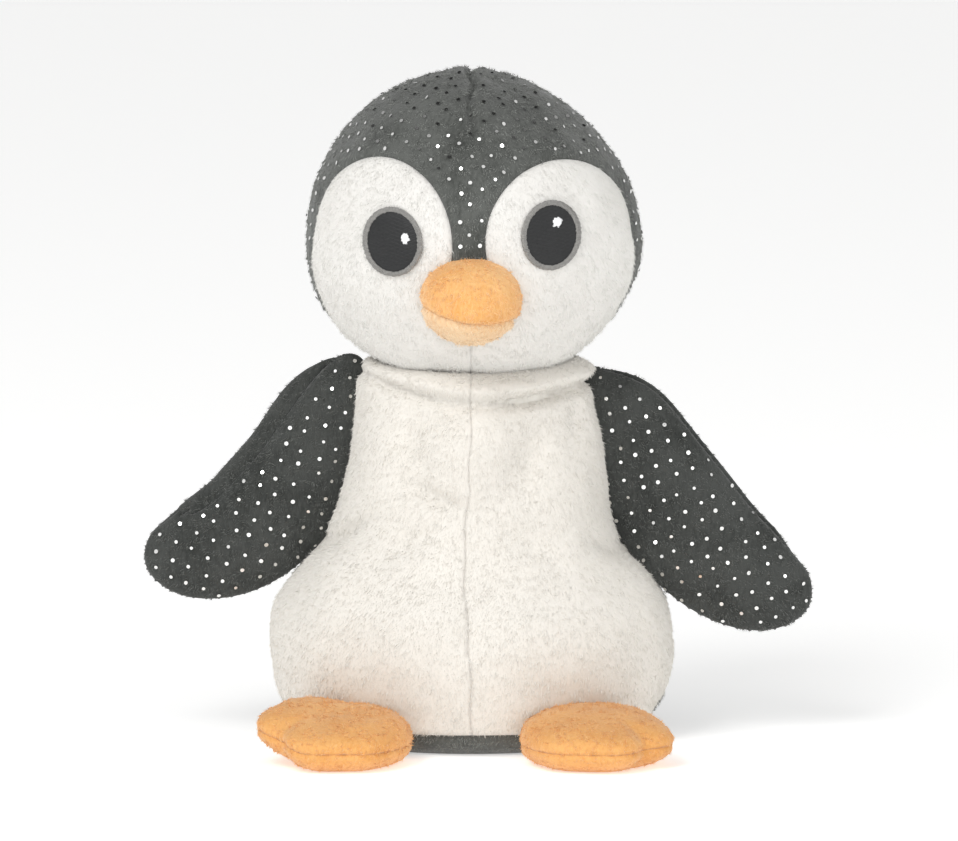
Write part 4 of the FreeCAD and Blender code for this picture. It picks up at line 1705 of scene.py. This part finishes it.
@dataclass
class Flipper:
    """A flat stuffed flipper of two panels, sewn round its edge and to the torso's shoulder.

    Attributes:
        side: The toy's side it is on.
        length: Length of its middle line.
        turns: Travel along the middle line and its direction there, in degrees from straight down.
        out: How far out the middle line starts.
        root: Height where it starts.
        back: How far back it lies.
        half_width: Its half width where it is widest.
        half_thickness: Its half thickness where it is thickest.
        seam_forward: How far the seam lies on the front along the upper edge.
        rows: Travel along the middle line, share of the half width, share of the half thickness.
    """

    side: Side
    length: float
    turns: tuple[tuple[float, float], ...]
    out: float = 46.0
    root: float = 117.0
    back: float = 2.0
    half_width: float = 21.5
    half_thickness: float = 8.5
    seam_forward: float = 5.2
    rows: tuple[tuple[float, float, float], ...] = (
        (-0.17, 0.36, 0.4), (0.0, 0.8, 0.78), (0.22, 0.96, 0.95), (0.45, 1.0, 1.0), (0.68, 0.94, 0.96),
        (0.87, 0.81, 0.84), (1.03, 0.6, 0.6))

    def __post_init__(self) -> None:
        """Follows the middle line in short steps."""
        place, steps = Vector((self.side.value * self.out, self.back, self.root)), 80
        back = self.heading(0.0)
        along = Vector((self.side.value * math.sin(back), 0, -math.cos(back)))
        self.places = [(-0.2, place - along * 0.2 * self.length), (0.0, place)]
        for step in range(int(steps * 1.1)):
            angle = self.heading((step + 0.5) / steps)
            along = Vector((self.side.value * math.sin(angle), 0, -math.cos(angle)))
            place = place + along * (self.length / steps)
            self.places.append(((step + 1) / steps, place))

    def heading(self, travel: float) -> float:
        """Gives the middle line's direction, from straight down, in radians."""
        return math.radians(read_table(self.turns, travel))

    def line(self, travel: float) -> Vector:
        """Gives a point on the middle line.

        Args:
            travel: Share of the way along it.

        Returns:
            The point.
        """
        for (low, first), (high, second) in zip(self.places, self.places[1:]):
            if travel <= high:
                return first.lerp(second, (travel - low) / (high - low))
        return self.places[-1][1].copy()

    def point(self, n: Vector) -> Vector:
        """Gives the flipper's surface.

        Args:
            n: Direction: across the flipper, through it and along it.

        Returns:
            The point there.
        """
        low, high = self.rows[0][0], self.rows[-1][0]
        travel = low + (high - low) * (n.z + 1) / 2
        level = math.hypot(n.x, n.y) or 1.0
        round_off = math.sqrt(max(0.0, 1 - abs(n.z) ** 9))
        across = n.x / level
        through = math.copysign(abs(n.y / level) ** 1.15, n.y)
        wide = self.half_width * read_table(self.rows, travel, 1) * round_off
        thick = self.half_thickness * read_table(self.rows, travel, 2) * round_off
        angle = self.heading(travel)
        place = self.line(travel)
        lump = 1 + 0.07 * noise.noise(n * 2.2 + Vector((self.side.value * 4.0, 1.5, 6.0)))
        edge = 1 + 0.02 * noise.noise(Vector((travel * 5, across * 2, self.side.value * 3.0)))
        return place + Vector((self.side.value * math.cos(angle) * across * wide * edge,
                               through * thick * lump, math.sin(angle) * across * wide * edge))

    def seam(self, p: Vector) -> float:
        """Gives the distance behind the edge seam, which lies on the front along the upper edge.

        Args:
            p: A point of the flipper.

        Returns:
            The distance, below zero on the front panel.
        """
        travel, nearest = min(self.places[::6], key=lambda at: (at[1] - p).length_squared)
        angle = self.heading(travel)
        above = ((p.x - nearest.x) * self.side.value * math.cos(angle)
                 + (p.z - nearest.z) * math.sin(angle))
        return p.y - self.back + self.seam_forward * ramp(above, 4, 15) * (1 - ramp(travel, 0.82, 1.0))

    def make(self) -> list[bpy.types.Object]:
        """Sews the flipper round its filling.

        Returns:
            The pieces of its skin.
        """
        body = f"{self.side.word}_flipper"
        # The flippers take the copy of the dark cloth that is painted darker, as painted shade.
        panels = {face: Panel(f"{body}_{face}_plush", DARK_SHADED, (f"{body}_{face}",), body)
                  for face in ("front", "back")}
        torso_edge = 40.0
        nap = Vector((self.side.value * 0.75, 0.0, -0.65))
        form = Sewn(ball(6, self.point), [Seam(self.seam, 1.4, 1.2)], panels,
                    lambda p, sides: "back" if sides[0] > 0 else "front",
                    bare=lambda p: 1 - ramp(abs(p.x), torso_edge - 2, torso_edge), nap=lambda p: nap)
        made = form.make()
        middle = self.line(0.5)
        dots = {}
        for number, face in enumerate(("front", "back")):
            away = 1.0 if face == "back" else -1.0

            def rays() -> Iterator[Ray]:
                """Sends rays straight through the flipper.

                Yields:
                    A ray's start and direction.
                """
                turn = -self.side.value * math.radians(27)
                for across, up in lattice(75, 75):
                    aside = across * math.cos(turn) - up * math.sin(turn)
                    above = across * math.sin(turn) + up * math.cos(turn)
                    start = Vector((middle.x + aside, self.back, middle.z + above))
                    yield start, Vector((0.0, away, 0.0))

            found = print_dots(made[face], rays(), 80 + number + self.side.value)
            if found:
                dots[face] = found
        pivot = Vector((self.side.value * 41.0, self.back, 133.0))
        crossing = Crossing(body, pivot, pivot + Vector((self.side.value * 10.0, 0.0, -20.0)))
        pieces = settle(panels, made, dots, 400 + 10 * self.side.value, crossing)
        stuffed_core(f"{body}_wadding", ball(4, self.point), 2.0, WADDING, body, "stuffing",
                     f"{body}_stuffing", crossing)
        return pieces


@dataclass
class Foot:
    """A flat stuffed foot of a top and a sole, with three soft toes.

    Attributes:
        side: The toy's side it is on.
        splay: How far it turns out, in degrees.
        heel_out: How far out its heel is.
        heel_forward: How far forward its heel is.
        ahead: Distance from the heel to the middle of the foot.
        half_width: Its half width.
        half_length: Its half length.
        seam_height: Height of the edge seam.
        lift: How much higher its outer edge lies.
        tread: How far across the foot that rise goes.
        toes: Turn from straight ahead towards the outside in degrees, extra reach, and half width in
            degrees, of each toe and of the gaps between.
    """

    side: Side
    splay: float
    heel_out: float = 36.0
    heel_forward: float = 34.0
    ahead: float = 24.5
    half_width: float = 24.5
    half_length: float = 25.5
    seam_height: float = 7.6
    lift: float = 0.0
    tread: float = 27.0
    toes: tuple[tuple[float, float, float], ...] = ((60, 3.4, 18), (33, -1.8, 9), (8, 2.0, 20),
                                                    (-22, -0.4, 9), (-44, 1.6, 18))

    def directions(self) -> tuple[Vector, Vector]:
        """Gives the foot's own directions.

        Returns:
            Outwards and forwards.
        """
        turn, sign = math.radians(self.splay), self.side.value
        return (Vector((sign * math.cos(turn), math.sin(turn), 0)),
                Vector((sign * math.sin(turn), -math.cos(turn), 0)))

    def point(self, n: Vector) -> Vector:
        """Gives the foot's surface.

        Args:
            n: Direction from the foot's middle: outwards, forwards and up.

        Returns:
            The point there.
        """
        turn = math.atan2(n.x, n.y)
        level = math.hypot(n.x, n.y)
        reach = 1 / math.hypot(math.sin(turn) / self.half_width, math.cos(turn) / self.half_length)
        shape = sum(extra * bell(math.degrees(turn) - at, wide) for at, extra, wide in self.toes)
        plan = (reach + shape * level) * level ** 0.85
        across, along = plan * math.sin(turn), self.ahead + plan * math.cos(turn)
        lump = 0.5 * noise.noise(n * 3.0 + Vector((self.side.value * 2.0, 5.0, 1.0)))
        if n.z >= 0:
            tall = 12.2 - 3.6 * ramp(along, 12, 48)
            valley = sum(0.7 * bell(math.degrees(turn) - at, 7) for at, extra, _ in self.toes if extra < -0.5)
            valley *= ramp(level, 0.45, 0.8) * ramp(1 - level, 0, 0.1)
            up = self.seam_height + (tall + lump) * n.z ** 0.8 - valley
        else:
            up = self.seam_height * (1 - min(1.0, (1.3 * -n.z) ** 0.8))
        outwards, forwards = self.directions()
        heel = Vector((self.side.value * self.heel_out, -self.heel_forward, 0))
        raised = self.lift * ramp(across, 0, self.tread)
        return heel + outwards * across + forwards * along + UP * (max(0.0, up) + raised)

    def make(self) -> list[bpy.types.Object]:
        """Sews the foot round its filling.

        Returns:
            The pieces of its skin.
        """
        body = f"{self.side.word}_foot"
        panels = {face: Panel(f"{body}_{face}_plush", FOOT, (f"{body}_{face}",), body)
                  for face in ("top", "sole")}
        outwards, forwards = self.directions()

        def edge(p: Vector) -> float:
            """Gives the height over the edge seam.

            Args:
                p: A point of the foot.

            Returns:
                The distance, below zero on the sole.
            """
            across = (p - Vector((self.side.value * self.heel_out, -self.heel_forward, 0))).dot(outwards)
            return p.z - self.seam_height + 0.8 - self.lift * ramp(across, 0, self.tread)

        seam = Seam(edge, 0.8, 0.9, covers=lambda p: 0.5 + 0.9 * max(0.0, noise.noise(p / 2.2) + 0.3))
        form = Sewn(ball(6, self.point), [seam], panels, lambda p, sides: "top" if sides[0] > 0 else "sole",
                    bare=lambda p: 1 - ramp(p.z, 0.4, 1.6), nap=lambda p: forwards + Vector((0, 0, -0.3)))
        made = form.make()
        heel = Vector((self.side.value * self.heel_out, -self.heel_forward, 7.0))
        crossing = Crossing(body, heel + forwards * 2.0, heel + forwards * 14.0)
        pieces = settle(panels, made, {}, 500 + 10 * self.side.value, crossing)
        stuffed_core(f"{body}_wadding", ball(4, self.point), 2.0, WADDING, body, "stuffing",
                     f"{body}_stuffing", crossing)
        return pieces


# ------------------------------------------------------------------ stage


@dataclass(frozen=True)
class Softbox:
    """A square soft light that faces the toy.

    Attributes:
        name: Its name.
        place: Where it stands, in metres.
        size: Length of its sides, in metres.
        power: Its power, in watts.
    """

    name: str
    place: tuple[float, float, float]
    size: float
    power: float

    def make(self, aim: Vector) -> None:
        """Sets up the light.

        Args:
            aim: The place it faces.
        """
        data = bpy.data.lights.new(self.name, "AREA")
        data.shape, data.size, data.energy = "SQUARE", self.size, self.power
        lamp = bpy.data.objects.new(self.name, data)
        place = Vector(self.place)
        lamp.matrix_world = (Matrix.Translation(place)
                             @ (aim - place).to_track_quat("-Z", "Y").to_matrix().to_4x4())
        bpy.context.scene.collection.objects.link(lamp)


@dataclass
class Studio:
    """A wide sheet of pale paper, soft lights and the camera.

    Attributes:
        floor_half: Half width of the paper, in metres.
        camera_from: Distance of the camera, in metres.
        elevation: Its height over the level, in radians.
        aim: The place it faces, in metres.
        view_width: Width of the picture at the toy, in metres.
        sensor: Width of the camera's sensor, in millimetres.
        lights: The lights.
        overhead: Direction of the studio's dark ceiling.
        ceiling: The ceiling's tone.
        glow: Strength of the light from the studio's walls.
    """

    floor_half: float = 25.0
    camera_from: float = 5.0
    elevation: float = math.radians(8.0)
    aim: Vector = field(default_factory=lambda: Vector((2.7, 0.0, 108.7)) * MM)
    view_width: float = 0.3257
    sensor: float = 36.0
    lights: tuple[Softbox, ...] = (Softbox("key_softbox", (-0.8, -1.25, 1.45), 0.9, 15.5),
                                   Softbox("fill_softbox", (1.3, -1.3, 0.7), 1.2, 5.0),
                                   Softbox("front_softbox", (0.0, -2.2, 0.5), 1.6, 4.5))
    overhead: tuple[float, float, float] = (0.0, 0.5, 0.866)
    ceiling: str = "262626"
    glow: float = 0.8

    def _paper(self) -> None:
        """Lays one flat sheet of paper."""
        mesh = bmesh.new()
        bmesh.ops.create_grid(mesh, x_segments=1, y_segments=1, size=self.floor_half)
        as_object(mesh, "studio_paper", StagePaper("matt_white_paper", "f6f6f5"))

    def _world(self) -> bpy.types.World:
        """Surrounds the toy with white walls under a dark ceiling, which the foil dots mirror.

        Returns:
            The world.
        """
        world = bpy.data.worlds.new("studio")
        world.use_nodes = True
        sky = world.node_tree.nodes["Background"]
        direction = add(world.node_tree, "ShaderNodeTexCoord").outputs["Generated"]
        above = add(world.node_tree, "ShaderNodeVectorMath", {0: direction, 1: self.overhead},
                    operation="DOT_PRODUCT").outputs["Value"]
        shaded = add(world.node_tree, "ShaderNodeMapRange",
                     {"Value": above, "From Min": 0.62, "From Max": 0.8})
        tone = add(world.node_tree, "ShaderNodeMix",
                   {"Factor": shaded.outputs[0], 6: linear("ffffff"), 7: linear(self.ceiling)},
                   data_type="RGBA")
        world.node_tree.links.new(tone.outputs[2], sky.inputs["Color"])
        sky.inputs["Strength"].default_value = self.glow
        return world

    def make(self) -> None:
        """Sets the stage and the camera."""
        self._paper()
        for light in self.lights:
            light.make(self.aim)
        scene = bpy.context.scene
        scene.world = self._world()
        scene.view_settings.view_transform = "Standard"
        data = bpy.data.cameras.new("camera")
        data.sensor_width, data.lens = self.sensor, self.sensor * self.camera_from / self.view_width
        camera = bpy.data.objects.new("camera", data)
        away = Vector((0.0, -math.cos(self.elevation), math.sin(self.elevation)))
        camera.matrix_world = (Matrix.Translation(self.aim + away * self.camera_from)
                               @ away.to_track_quat("Z", "Y").to_matrix().to_4x4())
        scene.collection.objects.link(camera)
        scene.camera = camera


def main() -> None:
    """Builds the toy and its stage."""
    Studio().make()
    right_turns = ((0.0, 20.0), (0.5, 44.0), (0.76, 72.0), (1.0, 112.0))
    left_turns = ((0.0, 31.0), (0.5, 40.0), (0.78, 62.0), (1.0, 101.0))
    parts = (Head(), Torso(),
             Flipper(Side.RIGHT, 90.5, right_turns, out=44.5),
             Flipper(Side.LEFT, 96.0, left_turns, root=112.5, half_width=22.2, seam_forward=1.0),
             Foot(Side.RIGHT, splay=20.0, lift=5.5), Foot(Side.LEFT, splay=12.0, lift=0.8))
    for part in parts:
        for piece in part.make():
            log.info("%s rides on %s", piece.name, body_of(piece))


if __name__ == "__main__":
    logging.basicConfig(level=logging.INFO, format="%(name)s: %(message)s")
    main()
